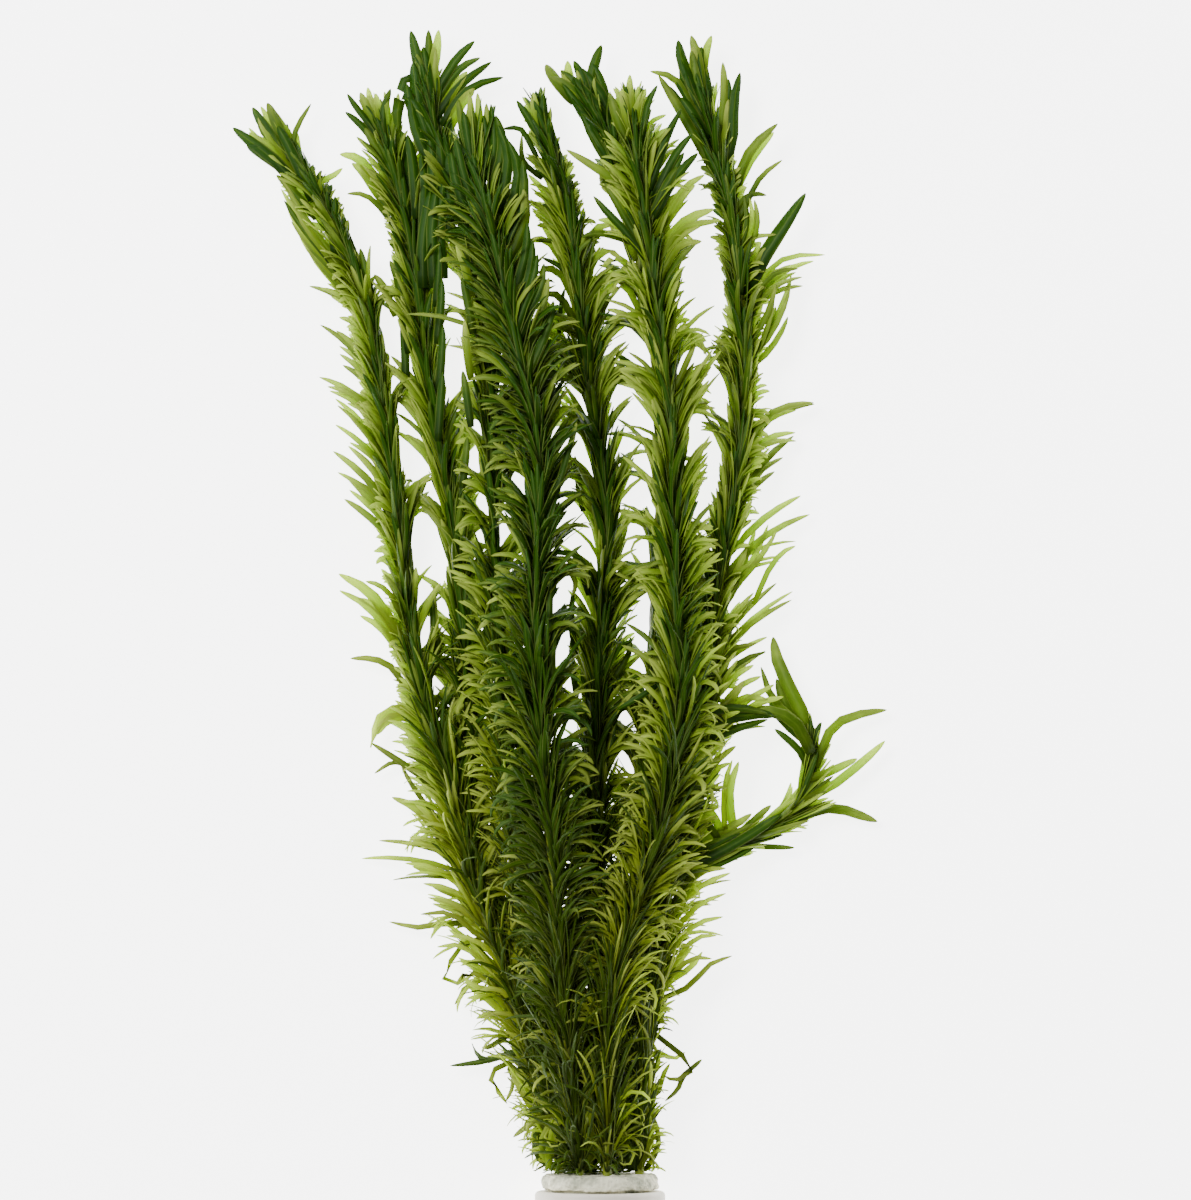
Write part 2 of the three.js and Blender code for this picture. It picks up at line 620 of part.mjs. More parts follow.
function toSolid(geometry) {
  geometry.deleteAttribute('normal');
  geometry.deleteAttribute('uv');
  const merged = mergeVertices(geometry);
  const triangles = [];
  const { array } = merged.index;
  for (let i = 0; i < array.length; i += 3) {
    const face = [array[i], array[i + 1], array[i + 2]];
    if (new Set(face).size === 3) triangles.push(...face);
  }
  return new wasm.Manifold(new wasm.Mesh({
    numProp: 3,
    vertProperties: Float32Array.from(merged.attributes.position.array),
    triVerts: Uint32Array.from(triangles),
  }));
}

function fromSolid(solid) {
  const mesh = solid.getMesh();
  const geometry = new THREE.BufferGeometry();
  geometry.setAttribute('position', new THREE.BufferAttribute(mesh.vertProperties, 3));
  geometry.setIndex(new THREE.BufferAttribute(mesh.triVerts, 1));
  return geometry;
}

// The whole bunch

function named(name, geometry, colour, roughness) {
  const material = new THREE.MeshStandardMaterial({ color: colour, roughness, metalness: 0 });
  const mesh = new THREE.Mesh(geometry, material);
  mesh.name = name;
  return mesh;
}

const bunch = new THREE.Group();
for (const { stem, skin } of makeStems()) {
  bunch.add(named(stem.name, skin.geometry(), COLOURS.stem, 0.45));
}
bunch.add(named('foam_plug', foamGeometry(), COLOURS.foam, 0.95));
bunch.add(named('ceramic_ring', ringGeometry(), COLOURS.ring, 0.5));

// The origin is the middle of the box round the bunch, on the surface that it lies on
const box = new THREE.Box3().setFromObject(bunch);
const middle = box.getCenter(new THREE.Vector3());
bunch.position.set(-middle.x, -middle.y, -box.min.z);

export default bunch;
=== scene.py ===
"""A bunch of Brazilian waterweed lying on a pale surface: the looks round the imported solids.

Lengths in the tables below are millimetres in the bunch's own frame: y = 0 is the top of the
foam, y grows towards the growing tips, x goes across the bunch, and z = 0 is the surface.
"""

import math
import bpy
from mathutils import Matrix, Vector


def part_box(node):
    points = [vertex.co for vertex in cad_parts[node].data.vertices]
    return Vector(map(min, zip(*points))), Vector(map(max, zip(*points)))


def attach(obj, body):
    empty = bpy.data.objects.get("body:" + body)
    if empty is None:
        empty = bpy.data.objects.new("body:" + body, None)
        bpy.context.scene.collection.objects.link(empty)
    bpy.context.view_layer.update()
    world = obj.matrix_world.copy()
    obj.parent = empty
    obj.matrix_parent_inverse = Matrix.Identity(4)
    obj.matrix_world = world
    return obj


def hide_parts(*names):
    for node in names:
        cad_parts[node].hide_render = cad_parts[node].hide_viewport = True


bl_info = {
    "name": "Brazilian waterweed bunch",
    "version": (1, 0, 0),
    "blender": (4, 5, 0),
    "location": "3D View > Sidebar > Waterweed",
    "description": "Leafy stems, foam plug and ceramic ring of a bunch of waterweed",
    "category": "Add Mesh",
}

import bmesh
import bpy
import numpy as np

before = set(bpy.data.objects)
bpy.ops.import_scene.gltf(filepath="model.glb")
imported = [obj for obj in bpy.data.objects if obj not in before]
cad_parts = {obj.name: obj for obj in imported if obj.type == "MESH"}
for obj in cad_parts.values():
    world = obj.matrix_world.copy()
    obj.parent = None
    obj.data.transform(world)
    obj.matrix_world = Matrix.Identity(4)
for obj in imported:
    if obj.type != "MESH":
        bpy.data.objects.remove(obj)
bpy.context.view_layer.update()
MM = 0.001

# The foam and the ring
RING_OUTER_R = 14
RING_INNER_R = 11.2
RING_TOP = -3.9
RING_HEIGHT = 16
RING_EDGE = 0.9
FOAM_BULGE_R = 12.8
FOAM_LENGTH = 18.6
FOAM_VOXEL = 0.48
FOAM_LUMP_SIZE = 2.2
FOAM_LUMP_HEIGHT = 1.1

# The foam's head above the ring: each ring's rise and how wide it is beside the one below
FOAM_FIRST_SHARE = 0.97
FOAM_HEAD = ((0.9, 1.03), (1.4, 1.0), (0.8, 0.97), (0.5, 0.93))
FOAM_TOP_RINGS = (0.8, 0.7, 0.55, 0.4)

# The gap between the foam and the ring, and the height of the stems' cut ends
GAP = 0.3
CUT_END = -19.2

# The bunch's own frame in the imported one, read from where the ring lies
RING_LOW, RING_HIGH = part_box("ceramic_ring")
SHIFT = np.array([
    (RING_LOW.x + RING_HIGH.x) / 2 / MM,
    RING_HIGH.y / MM - RING_TOP,
    RING_LOW.z / MM,
])

# Each stem's route, from its cut end to its growing tip
ROUTES = {
    "stem_1": [(-8.6, CUT_END, 12), (-8.6, -8, 12), (-9, 4, 12), (-13.2, 22, 11), (-18, 36, 9.5),
               (-23, 50, 8.5), (-27.2, 62, 8), (-31, 80, 8), (-36, 95, 8), (-39.5, 110, 8),
               (-42.2, 130, 8), (-44.2, 148, 8), (-46.8, 166, 7.5), (-49.5, 184, 7.5),
               (-54.5, 198, 7.5), (-61, 211, 7), (-67.5, 220.5, 6)],
    "stem_2": [(-6, CUT_END, 7.8), (-6, -8, 7.8), (-6.5, 4, 7.6), (-11.5, 22, 6.5), (-18, 42, 5.8),
               (-24.5, 60, 5.5), (-27.6, 76, 5.5), (-28.4, 94, 5.5), (-29, 112, 5.5),
               (-30.6, 130, 5.5), (-33, 148, 6), (-36, 165, 6.5), (-38.6, 185, 7),
               (-41.2, 203, 7), (-44.6, 216, 7), (-47.6, 225, 6.5)],
    "stem_3": [(-2.2, CUT_END, 5.7), (-2.2, -8, 5.7), (-2.6, 4, 5.8), (-6.5, 22, 6), (-12, 42, 7.5),
               (-16.5, 62, 9.5), (-19.6, 84, 11.5), (-21.4, 108, 12.5), (-22.4, 132, 12.5),
               (-23, 155, 12), (-24, 175, 11), (-26, 193, 10), (-30, 209, 9), (-34.8, 222, 8.5),
               (-37.4, 234, 8)],
    "stem_4": [(-4.2, CUT_END, 20.6), (-4.2, -8, 20.6), (-4.6, 4, 20.8), (-6.6, 24, 22.5),
               (-8.6, 46, 24.5), (-10.4, 70, 24.5), (-12.6, 94, 23.5), (-14, 116, 22.5),
               (-13.2, 138, 21.5), (-13.2, 157, 20.5), (-17.4, 176, 19), (-21.4, 194, 17),
               (-24.8, 208, 14.5), (-28, 219, 12)],
    "stem_5": [(-1.6, CUT_END, 13.2), (-1.6, -8, 13.2), (-1.5, 4, 13.1), (-0.8, 24, 12),
               (-0.4, 48, 9.5), (-1, 74, 7.5), (-0.8, 98, 6.8), (0.9, 122, 6.8), (1, 146, 6.8),
               (-2.4, 168, 7), (-4.2, 186, 7.5), (-6.6, 205, 8), (-10.6, 220, 8),
               (-12.6, 227, 7.5)],
    "stem_6": [(3.4, CUT_END, 6.3), (3.4, -8, 6.3), (3.6, 4, 6.2), (5.2, 24, 5.8), (7.5, 48, 5.5),
               (9.5, 74, 5.6), (11, 98, 6), (12, 122, 6.2), (13, 146, 6.2), (12.6, 168, 6.4),
               (9.6, 190, 7), (6.2, 208, 7.5), (2.4, 221, 7.5), (-3.6, 231, 7)],
    "stem_7": [(1.6, CUT_END, 21.6), (1.6, -8, 21.6), (1.5, 4, 21.7), (1.4, 20, 22.3),
               (2, 35, 22.6), (6, 52, 22), (11.5, 68, 21), (15, 84, 20), (17.2, 100, 19.5),
               (16.6, 118, 19), (15.8, 138, 18.5), (15.2, 160, 18), (12.8, 181, 16.5),
               (10.4, 200, 14.5), (8.4, 216, 12.5), (6.8, 228, 11)],
    "stem_8": [(8.4, CUT_END, 15.5), (8.4, -8, 15.5), (8.6, 4, 15.4), (9.6, 24, 14.6),
               (11.6, 46, 13.5), (15.2, 64, 12.4), (18.6, 80, 11.6), (21.6, 98, 11),
               (24, 116, 10.6), (27, 134, 10.2), (29.6, 150, 10), (31, 168, 9.6),
               (30.4, 185, 9.2), (28.6, 202, 9), (25.4, 218, 8.6), (21.8, 232, 8)],
    "side_shoot": [(17.5, 65.6, 11.8), (21.6, 67.2, 10.5), (27.7, 69.8, 8.6), (35.6, 73.4, 7),
                   (41, 77, 6.2), (43.8, 82.6, 6), (44.8, 88, 6.2), (45.6, 93, 6.6)],
}

# Leaves that stand out of the leafy columns. Each has the height of its root on the stem,
# its tip's x, y and z, and how far its middle bows to the left of the line to its tip.
STRAYS = {
    "stem_1": [(186, -49.4, 199.2, 9, 0.5), (181, -62.6, 190.6, 4, -2),
               (168, -60.3, 182.3, 3, -1.9), (158, -60.5, 171, 3, -2.5), (151, -57, 166.3, 5, -1.5),
               (140, -57.5, 155, 3, -1.5), (135, -55, 150, 4, -1), (64, -51.3, 67.2, 2, -1.5),
               (66, -40.7, 72.2, 5, -1)],
    "stem_2": [(178, -49.5, 191.8, 9, -1), (163, -45, 175.5, 6, -1), (146, -44.3, 159.5, 5, -2),
               (127, -38.8, 143.5, 7, -3), (116, -39.4, 128.4, 5, -2.5)],
    "stem_4": [(216, -28, 232.3, 10, 0), (214, -22.8, 229.3, 10, 0), (206, -19.8, 220.3, 11, 1),
               (194, -15.8, 208, 12, 1), (201, -34, 214.5, 10, -1.5)],
    "stem_7": [(158, 26, 176.5, 14, 1.5), (104, 5.5, 118, 15, -2)],
    "stem_8": [(183, 46, 196, 4, 3), (175, 41.2, 193, 6, -1.5), (151, 46.2, 165.2, 3, 4.2),
               (143, 41.7, 158.3, 4, 1.5), (132, 43.2, 145.4, 5, 1.5), (128, 45.2, 141.4, 3, 2),
               (121, 36.2, 139.2, 6, -1), (111, 38, 126.6, 5, 1), (109, 41.5, 124.8, 3, 1.5),
               (97, 35.6, 112, 5, 2), (86, 36.5, 98.6, 8, 4), (76, 27.2, 92.6, 7, 0.5),
               (52, 28.2, 62.6, 4, 3), (44, 26.5, 50.6, 3, 4)],
}

# Leaves that cross the openings between the stems, in the same order of numbers
CROSSING = {
    "stem_1": [(118, -36.2, 130.5, 5, 2)],
    "stem_2": [(152, -44, 163.3, 4, -1.5), (126, -39, 113.5, 4, -4)],
    "stem_4": [(176, -33, 189, 17, -2.5), (172, -41.5, 184.3, 15, -4), (166, -32.6, 177.6, 15, -3),
               (183, -11.2, 197.4, 17, 2), (176, -9.5, 190.5, 16, 3.5)],
    "stem_5": [(194, 1.2, 202.6, 8, 3), (163, 6.3, 178.2, 8, 1.5), (160, 5.6, 171.6, 9, 2),
               (154, 7, 167, 7, 2), (141, 9, 157, 7, 1.5), (136, 10.2, 150, 7, 2.5),
               (130, 9.2, 142.4, 7, 2), (124, 8, 134, 7, 2.5), (112, 7.5, 121, 6, 2),
               (176, -9, 184, 9, -3), (142, -6.5, 152, 8, -2), (128, -7, 139, 7, -2)],
    "stem_7": [(184, 0.3, 190.6, 13, -5.5), (176, 0.9, 187.5, 12, -3), (164, 6.1, 176.2, 13, -2),
               (155, 6.8, 167.6, 13, -1), (152, 4.6, 160.4, 12, -3), (124, 5, 123.4, 14, -3),
               (127, 6, 129, 16, -3), (108, 4.6, 101, 12, -1), (191, 24.2, 207.2, 10, 2.5),
               (189, 21.6, 199.8, 11, 2.5), (176, 20.6, 188, 13, 2), (173, 24.6, 186.2, 12, 2),
               (168, 21.8, 177.8, 13, 3), (158, 24.2, 176.8, 16, 1), (154, 25.8, 171.8, 15, 1.5),
               (142, 23.6, 158.2, 15, 0.8)],
    "stem_8": [(170, 24.6, 182, 9, -2), (155, 22.8, 162.8, 8, -2), (122, 42.2, 135.6, 5, 4.5),
               (104, 33, 114, 6, 1.5), (100, 29.5, 117, 8, -1)],
}

# Leaves drawn point by point: each has its age, its width, how pale and yellow it is from 0
# to 1, and the points that it runs through from its root to its tip, which lie at its
# stem's own level where they have no z
CURLED = {
  "side_shoot": [
    (0.8, 1.3, 0.9, [(27, 72, 9), (26.6, 78, 10), (27, 84, 11), (28.4, 88.6, 11)]),
    (0.45, 1.9, 0.2, [(45.5, 92, 6.5), (42.4, 96.4, 6.2), (39.6, 101, 6), (38, 106, 5.5)]),
    (0.45, 1.8, 0.1, [(44.5, 92.5, 6.3), (41, 95.6, 6.1), (38, 99, 6), (36.4, 102.6, 5.6)]),
    (0.45, 2.5, 0.3, [(45.8, 91, 7), (44.2, 97, 6.5), (41, 103.5, 6), (38.2, 110, 5.5),
                      (37.3, 115, 5)]),
    (0.6, 1.2, -0.2, [(12, 60, 12), (20, 64, 11), (28, 67.2, 10), (34, 70.4, 9)]),
    (0.6, 1.2, 0.3, [(13, 61.6, 12), (20, 65.2, 11), (26, 67.6, 11), (31, 69.8, 10)]),
    (0.6, 1.2, 0.2, [(13, 66, 12), (20, 68.8, 11), (27, 72, 10), (33, 75, 9)]),
    (0.6, 1.2, -0.1, [(14, 63, 12), (22, 66.2, 11), (30, 70, 10)]),
    (0.6, 1.1, 0.4, [(16, 65, 12), (24, 68.6, 11), (31, 72, 10), (36.6, 75.6, 9)]),
    (0.6, 1.1, 0, [(18, 66.4, 12), (24, 69.6, 11), (30, 72.8, 10)]),
    (0.6, 1.5, 0.5, [(15, 68.6, 11), (22, 71.4, 10), (29, 74.6, 9), (32.6, 77, 9)]),
    (0.6, 1.8, 0, [(20, 66, 12), (27, 69.4, 11), (34, 73.6, 10), (39, 77, 9)]),
    (0.5, 1.7, 0.45, [(46.4, 87, 7), (48.6, 93, 6.5), (51, 96.4, 6), (56, 98.4, 5),
                      (61.8, 99.3, 4)]),
    (0.5, 1.5, 0.7, [(45, 84.6, 7), (48.6, 85.6, 6.5), (52, 87.2, 6), (55.4, 88.8, 6)]),
    (0.5, 1.6, 0.75, [(44, 80, 7), (49, 82.3, 6), (54, 86, 5.5), (58, 89.4, 5),
                      (61.4, 92.6, 4.5)]),
    (0.5, 1.8, 0.3, [(42.5, 76, 6.5), (47.5, 78, 6), (52, 77.9, 5), (56, 76.6, 4),
                     (59.8, 75.2, 3)]),
    (0.5, 1.3, 0.1, [(44.6, 87, 7), (43, 90.5, 7.5), (40.4, 93, 8), (37.6, 95.2, 8)]),
    (0.5, 1.4, 0.3, [(45.6, 91, 8), (42.4, 96.8, 9), (37.2, 101.5, 9.5), (34.6, 108.6, 10)]),
    (0.5, 2.2, 0.2, [(45.4, 90, 9), (42.5, 96, 10), (38, 98.8, 11), (31, 99.6, 11)]),
    (0.5, 1.6, 0.9, [(29, 72, 8), (28, 78, 9), (28, 83, 10), (29.8, 88.2, 10)]),
    (0.5, 1.5, 0.8, [(26.5, 72, 9), (25, 75.5, 10), (22.4, 79.8, 11)]),
    (0.5, 1.3, 0.3, [(25.5, 71.5, 10), (23, 75, 11), (20, 77.8, 12)]),
    (0.5, 1.2, 0.3, [(31, 73.5, 8), (34, 76.4, 8), (36.8, 78.8, 8)]),
    (0.5, 1, 0.2, [(32, 70, 6), (37, 69.8, 5), (41.9, 69.6, 4)]),
  ],
  "stem_2": [
    (0.1, 1, 0.8, [(-46.6, 222), (-48.6, 227.6), (-50, 231.6)]),
    (0.1, 1, 0.6, [(-45, 222), (-45.6, 228), (-46.4, 232.4)]),
    (0.6, 1.5, 0, [(-41.8, 169), (-42, 177), (-42.6, 183)]),
    (0.6, 1.5, -0.1, [(-41.2, 176), (-42, 183), (-43, 189)]),
    (0.6, 1.4, 0.4, [(-44, 184), (-46.4, 190), (-48.6, 193)]),
    (0.6, 1.4, 0.2, [(-42.6, 186), (-43.6, 192), (-45.2, 196)]),
    (0.7, 1.5, 0.1, [(-36, 109), (-35.9, 117), (-36.2, 124)]),
    (0.7, 1.4, 0.3, [(-34.6, 111), (-35.4, 118), (-35.8, 126)]),
    (0.4, 1.3, 0, [(-47, 219), (-50, 223.5), (-52.2, 225.9), (-54.8, 228)]),
    (0.4, 1.2, 0, [(-47.5, 222), (-50.5, 226.5), (-52.6, 229.2), (-54.4, 231.9)]),
    (0.4, 1.7, 0.4, [(-47.5, 223), (-49.8, 228), (-51.6, 232.2)]),
    (0.4, 1.6, 0.95, [(-47, 223), (-48.9, 228), (-50, 233.3)]),
    (0.4, 1.6, 0.8, [(-46.6, 223), (-47.6, 228), (-48.3, 232)]),
    (0.4, 1.4, 0.1, [(-46.5, 222), (-46.6, 228), (-45.1, 233)]),
    (0.4, 1.4, 0.5, [(-45, 221), (-44.7, 225), (-43.8, 228.4), (-43.4, 232)]),
    (0.4, 1.5, 0.2, [(-45, 216), (-48.5, 221), (-50.6, 224.6)]),
    (0.5, 1.7, 0.8, [(-44.5, 208.5), (-48, 213.3), (-50.6, 216.8), (-53, 218.4), (-56, 218.9)]),
    (0.5, 1.5, 0.5, [(-44.6, 206), (-48.4, 211), (-51, 215), (-53.4, 217)]),
    (0.4, 2, -0.3, [(-42, 200), (-40, 207), (-39.6, 213), (-40.4, 219)]),
    (0.4, 2, -0.2, [(-41, 194), (-39.4, 200), (-38.4, 207), (-38.6, 213)]),
    (0.4, 1.9, -0.3, [(-42.4, 206), (-41, 213), (-41.4, 219), (-42.8, 224)]),
    (0.4, 1.8, -0.1, [(-41.4, 198), (-39.8, 203), (-38.8, 209), (-38, 215)]),
    (0.5, 2, 0.6, [(-44, 206), (-46.6, 210.5), (-49, 213.5), (-51.6, 216.6)]),
    (0.5, 1, 0.3, [(-44, 203), (-46.8, 206.8), (-49, 209.2), (-51.6, 210.4), (-54.4, 210.4)]),
  ],
  "stem_3": [
    (0.1, 1, 0.9, [(-37.2, 232), (-38, 237), (-38.6, 241.4)]),
    (0.1, 1, 0.6, [(-36, 231), (-35.4, 236), (-35.2, 240.6)]),
    (0.6, 1.5, -0.1, [(-34.8, 157), (-34.2, 166), (-33.8, 172)]),
    (0.6, 1.5, 0, [(-34.6, 168), (-34, 176), (-33.8, 182)]),
    (0.6, 1.5, -0.2, [(-35, 178), (-34.2, 186), (-34, 192)]),
    (0.6, 1.5, -0.1, [(-35.2, 186), (-34.8, 193), (-34.6, 200)]),
    (0.6, 1.4, 0.2, [(-29.6, 147), (-28.9, 153), (-28.5, 158)]),
    (0.4, 2, -0.2, [(-37.6, 231), (-38.8, 237), (-39.7, 241), (-40.7, 245.4)]),
    (0.4, 1.7, 0.15, [(-37.4, 232), (-37.2, 237), (-36.8, 241), (-36.9, 245.6)]),
    (0.4, 1.9, 0.75, [(-36.6, 232), (-36, 237), (-35.2, 241), (-34.7, 245.6)]),
    (0.4, 1.7, -0.1, [(-36, 231), (-33, 236), (-30.5, 239.8), (-27, 243.2)]),
    (0.4, 1.5, 0.1, [(-35.4, 230), (-32.4, 234.8), (-29.5, 237.8), (-25.8, 239.6)]),
    (0.4, 1.6, -0.15, [(-35, 227), (-31.6, 232), (-28.3, 235.2), (-23.4, 238.7)]),
    (0.4, 1.5, -0.05, [(-34, 225), (-31, 230), (-27, 233.6), (-20.8, 235.4)]),
    (0.4, 1.8, 0.6, [(-34, 228), (-31.4, 233), (-28.6, 236.6)]),
    (0.4, 1.8, 0.7, [(-32.6, 224), (-30, 229.5), (-27, 233)]),
    (0.3, 1.5, -0.3, [(-39, 235.4), (-41.6, 235.3), (-42.8, 233.4), (-42.4, 231.3), (-40, 231)]),
    (0.3, 2.2, 0.1, [(-39, 229), (-41, 231), (-42.8, 231.2), (-43.6, 228), (-43.4, 224)]),
    (0.3, 2, -0.3, [(-36, 224), (-39, 227), (-41, 230), (-41.6, 234)]),
    (0.35, 2.2, -0.2, [(-36, 216), (-38.4, 221), (-40, 226), (-40.8, 231)]),
    (0.3, 2.1, 0.2, [(-37.5, 228), (-38, 232), (-38.6, 236), (-39.4, 240.4)]),
    (0.3, 2.1, -0.1, [(-36.5, 229), (-36.8, 233), (-37.4, 237), (-38, 242)]),
    (0.3, 2, 0.5, [(-35.5, 229), (-35.6, 233), (-35.8, 237), (-35.6, 242)]),
    (0.3, 2.2, -0.3, [(-38.4, 226), (-39.2, 230), (-39.8, 234), (-40.2, 238.6)]),
    (0.4, 2.1, -0.3, [(-38, 190), (-38.2, 198), (-37.4, 205), (-36.4, 211)]),
    (0.4, 2.1, -0.2, [(-35.6, 190), (-36, 198), (-36, 205), (-35, 212)]),
    (0.4, 2.1, -0.3, [(-33.6, 192), (-34.4, 199), (-34.4, 206), (-33.6, 213)]),
    (0.4, 2, -0.3, [(-38, 200), (-37.8, 207), (-37.6, 213), (-38.6, 219)]),
    (0.4, 2, -0.2, [(-36, 204), (-36, 211), (-36, 217), (-36.8, 223)]),
    (0.4, 2, -0.3, [(-34, 204), (-33.8, 211), (-34, 218), (-35, 224)]),
    (0.4, 2, -0.3, [(-32, 200), (-32.4, 207), (-32.2, 213), (-32.8, 219)]),
    (0.4, 1.9, -0.2, [(-39.4, 205), (-39.8, 212), (-40.4, 218), (-41.4, 223)]),
    (0.35, 2, -0.3, [(-35, 219), (-37.6, 224), (-39.4, 228.6), (-41.8, 231)]),
  ],
  "stem_4": [
    (0.6, 1.7, -0.1, [(-20, 176), (-17, 184), (-14.6, 191), (-13.4, 197)]),
    (0.6, 1.7, -0.2, [(-19, 180), (-16.6, 187), (-14.8, 194), (-14.4, 200)]),
    (0.6, 1.7, -0.1, [(-20, 184), (-17.6, 191), (-15.8, 198), (-15.6, 204)]),
    (0.6, 1.6, 0.3, [(-17, 172), (-14.4, 180), (-12.2, 186), (-11, 192)]),
    (0.6, 1.6, 0.1, [(-16, 170), (-13.2, 176), (-11, 182), (-10, 187)]),
    (0.6, 1.7, 0, [(-18, 178), (-15, 185), (-12.8, 190), (-12, 195)]),
    (0.6, 1.4, 0.1, [(-27.6, 160), (-28.6, 167), (-29.4, 172)]),
    (0.6, 1.4, 0.5, [(-27.6, 170), (-28.6, 177), (-29, 183)]),
    (0.6, 1.5, 0.2, [(-27.2, 180), (-28.4, 187), (-29.6, 192)]),
    (0.6, 1.5, 0.6, [(-27.6, 188), (-28.8, 194), (-30.8, 199)]),
    (0.7, 1.5, 0, [(-9.6, 145), (-7.6, 152), (-6, 158)]),
    (0.7, 1.4, 0.2, [(-8.6, 149), (-6.4, 156), (-5, 161)]),
    (0.7, 1.5, 0, [(-10.6, 114), (-10.8, 122), (-10, 129)]),
    (0.7, 1.5, 0.1, [(-9.8, 102), (-10.2, 110), (-9.6, 117)]),
    (0.5, 1.6, 0.6, [(-25.6, 218), (-25.8, 224), (-26.3, 231.8)]),
    (0.5, 1.5, 0.5, [(-26.6, 219), (-27.5, 225), (-28, 231.6)]),
    (0.5, 1.5, 0.2, [(-27.5, 217), (-29.4, 224), (-30.5, 230.5)]),
    (0.5, 1.5, 0.4, [(-24.5, 215), (-24.2, 222), (-24.4, 229.6)]),
    (0.5, 1.6, 0, [(-27.4, 216), (-28.4, 222), (-29.4, 228)]),
    (0.5, 1.6, 0.1, [(-26, 215), (-26.6, 221), (-27.2, 228)]),
    (0.5, 1.6, -0.1, [(-24.6, 213), (-24.6, 219), (-25, 227)]),
    (0.5, 1.7, -0.3, [(-29, 207), (-31, 213), (-32, 219)]),
    (0.5, 1.7, -0.3, [(-27.6, 209), (-29.6, 215), (-31, 222)]),
    (0.5, 1.6, -0.2, [(-23.5, 213), (-22.8, 220), (-23.4, 229.4)]),
    (0.5, 1.9, -0.1, [(-22, 206), (-20.2, 213), (-19.8, 219), (-22, 225)]),
    (0.5, 1.9, -0.1, [(-20.6, 203), (-18.2, 210), (-17.6, 216), (-19.8, 221.6)]),
    (0.5, 1.8, 0, [(-19.8, 199), (-17, 205), (-16.2, 211), (-16.6, 217.4)]),
    (0.5, 1.9, 0.3, [(-19.4, 196), (-16.6, 202), (-16, 207), (-16.4, 211)]),
    (0.5, 1.8, 0.1, [(-23.4, 211), (-21.4, 217), (-21, 222), (-22.4, 227)]),
  ],
  "stem_5": [
    (0.5, 0.9, 0.2, [(-6.6, 197), (-9.6, 200), (-13.8, 200.4)]),
    (0.5, 0.9, 0, [(-6.4, 192.6), (-9, 195), (-12.4, 196.6)]),
    (0.5, 0.8, -0.4, [(-8.8, 180), (-8.4, 186.4), (-7.6, 190)]),
    (0.5, 0.9, 0.1, [(-7, 202), (-9.6, 206), (-12.4, 207.4)]),
    (0.7, 1.5, -0.2, [(-5, 111), (-6.2, 118), (-5.8, 125)]),
    (0.7, 1.4, -0.1, [(-5, 102), (-6, 109), (-6.2, 115)]),
    (0.7, 1.4, 0, [(-3.6, 142), (-4.8, 149), (-5.4, 154)]),
    (0.7, 1.4, -0.1, [(-2.4, 124), (-4.2, 130), (-5.4, 134)]),
    (0.7, 1.3, 0.2, [(3, 106), (6, 111), (6.6, 115)]),
    (0.7, 1.3, 0, [(2.6, 96), (5, 101), (7.4, 105)]),
    (0.4, 1.5, -0.1, [(-12.6, 221), (-14.8, 225.6), (-17.9, 230.4)]),
    (0.4, 1.7, 0.7, [(-12.6, 223), (-13.8, 227.5), (-14.4, 232.2)]),
    (0.4, 1.6, -0.3, [(-11.4, 221), (-12, 226.5), (-12.2, 232)]),
    (0.4, 1, -0.1, [(-13, 217), (-15.8, 222.6), (-17.6, 224.5), (-21, 224.3)]),
    (0.4, 1, 0.2, [(-12.4, 213.6), (-15.6, 216.2), (-16.9, 218.6), (-16.8, 223)]),
    (0.4, 1.5, -0.3, [(-7.6, 209), (-9, 215), (-10.8, 221), (-11, 227)]),
    (0.5, 1.4, 0.6, [(-5, 190), (-8.6, 197), (-11.6, 200.4), (-15.4, 200.2)]),
    (0.5, 1.3, 0.5, [(-4.8, 186), (-8, 192.6), (-11.4, 194.4), (-14.4, 193)]),
    (0.5, 1.4, 0.5, [(-5, 193), (-8, 200), (-10.6, 203.2), (-13.6, 203.6)]),
    (0.5, 1.3, 0.3, [(-4.6, 181), (-7.6, 187), (-10.4, 189), (-13, 187.6)]),
    (0.5, 1.5, 0.1, [(-5, 196), (-8, 203.6), (-10, 207), (-12.6, 208)]),
    (0.5, 1.3, 0.7, [(-4.6, 196), (-2, 201.4), (0.6, 203.6), (3.4, 202.6)]),
    (0.5, 1.2, 0.6, [(-4, 190), (-1, 196.4), (2, 198), (5, 196)]),
    (0.5, 1.3, 0.4, [(-3.6, 186), (-0.4, 191.4), (3, 192.6), (5, 190.4)]),
    (0.9, 1.6, -0.1, [(-2.5, 40), (-3.4, 47), (-4.2, 54)]),
    (0.9, 1.6, -0.2, [(-4, 42), (-3, 50), (-2.6, 58)]),
    (0.9, 1.7, 0, [(-5, 36), (-4.4, 44), (-4.8, 50)]),
    (0.9, 1.6, -0.1, [(-2, 50), (-3, 57), (-4.6, 63)]),
    (0.9, 1.6, -0.2, [(-6, 48), (-5, 54), (-4.4, 62)]),
  ],
  "stem_6": [
    (0.1, 1, 0.8, [(-4, 227), (-6.6, 232.6), (-8.4, 236.4)]),
    (0.1, 1, 0.6, [(-2.6, 228), (-3.8, 233), (-5, 237)]),
    (0.1, 1, 0.7, [(-1.6, 229), (-1.4, 233.4), (-1.6, 237.6)]),
    (0.3, 2, 0.1, [(1.4, 226), (-1.4, 230), (-5, 233.8), (-8.4, 236.8)]),
    (0.3, 2, -0.2, [(2, 228), (0.2, 231.8), (-2.2, 234.8), (-4.8, 237.6)]),
    (0.3, 2, 0.2, [(-0.8, 227), (-4.4, 231.2), (-8, 234), (-11, 235.4)]),
    (0.3, 1.8, -0.1, [(1.6, 229), (0.6, 233), (-0.6, 236), (-1.8, 238.4)]),
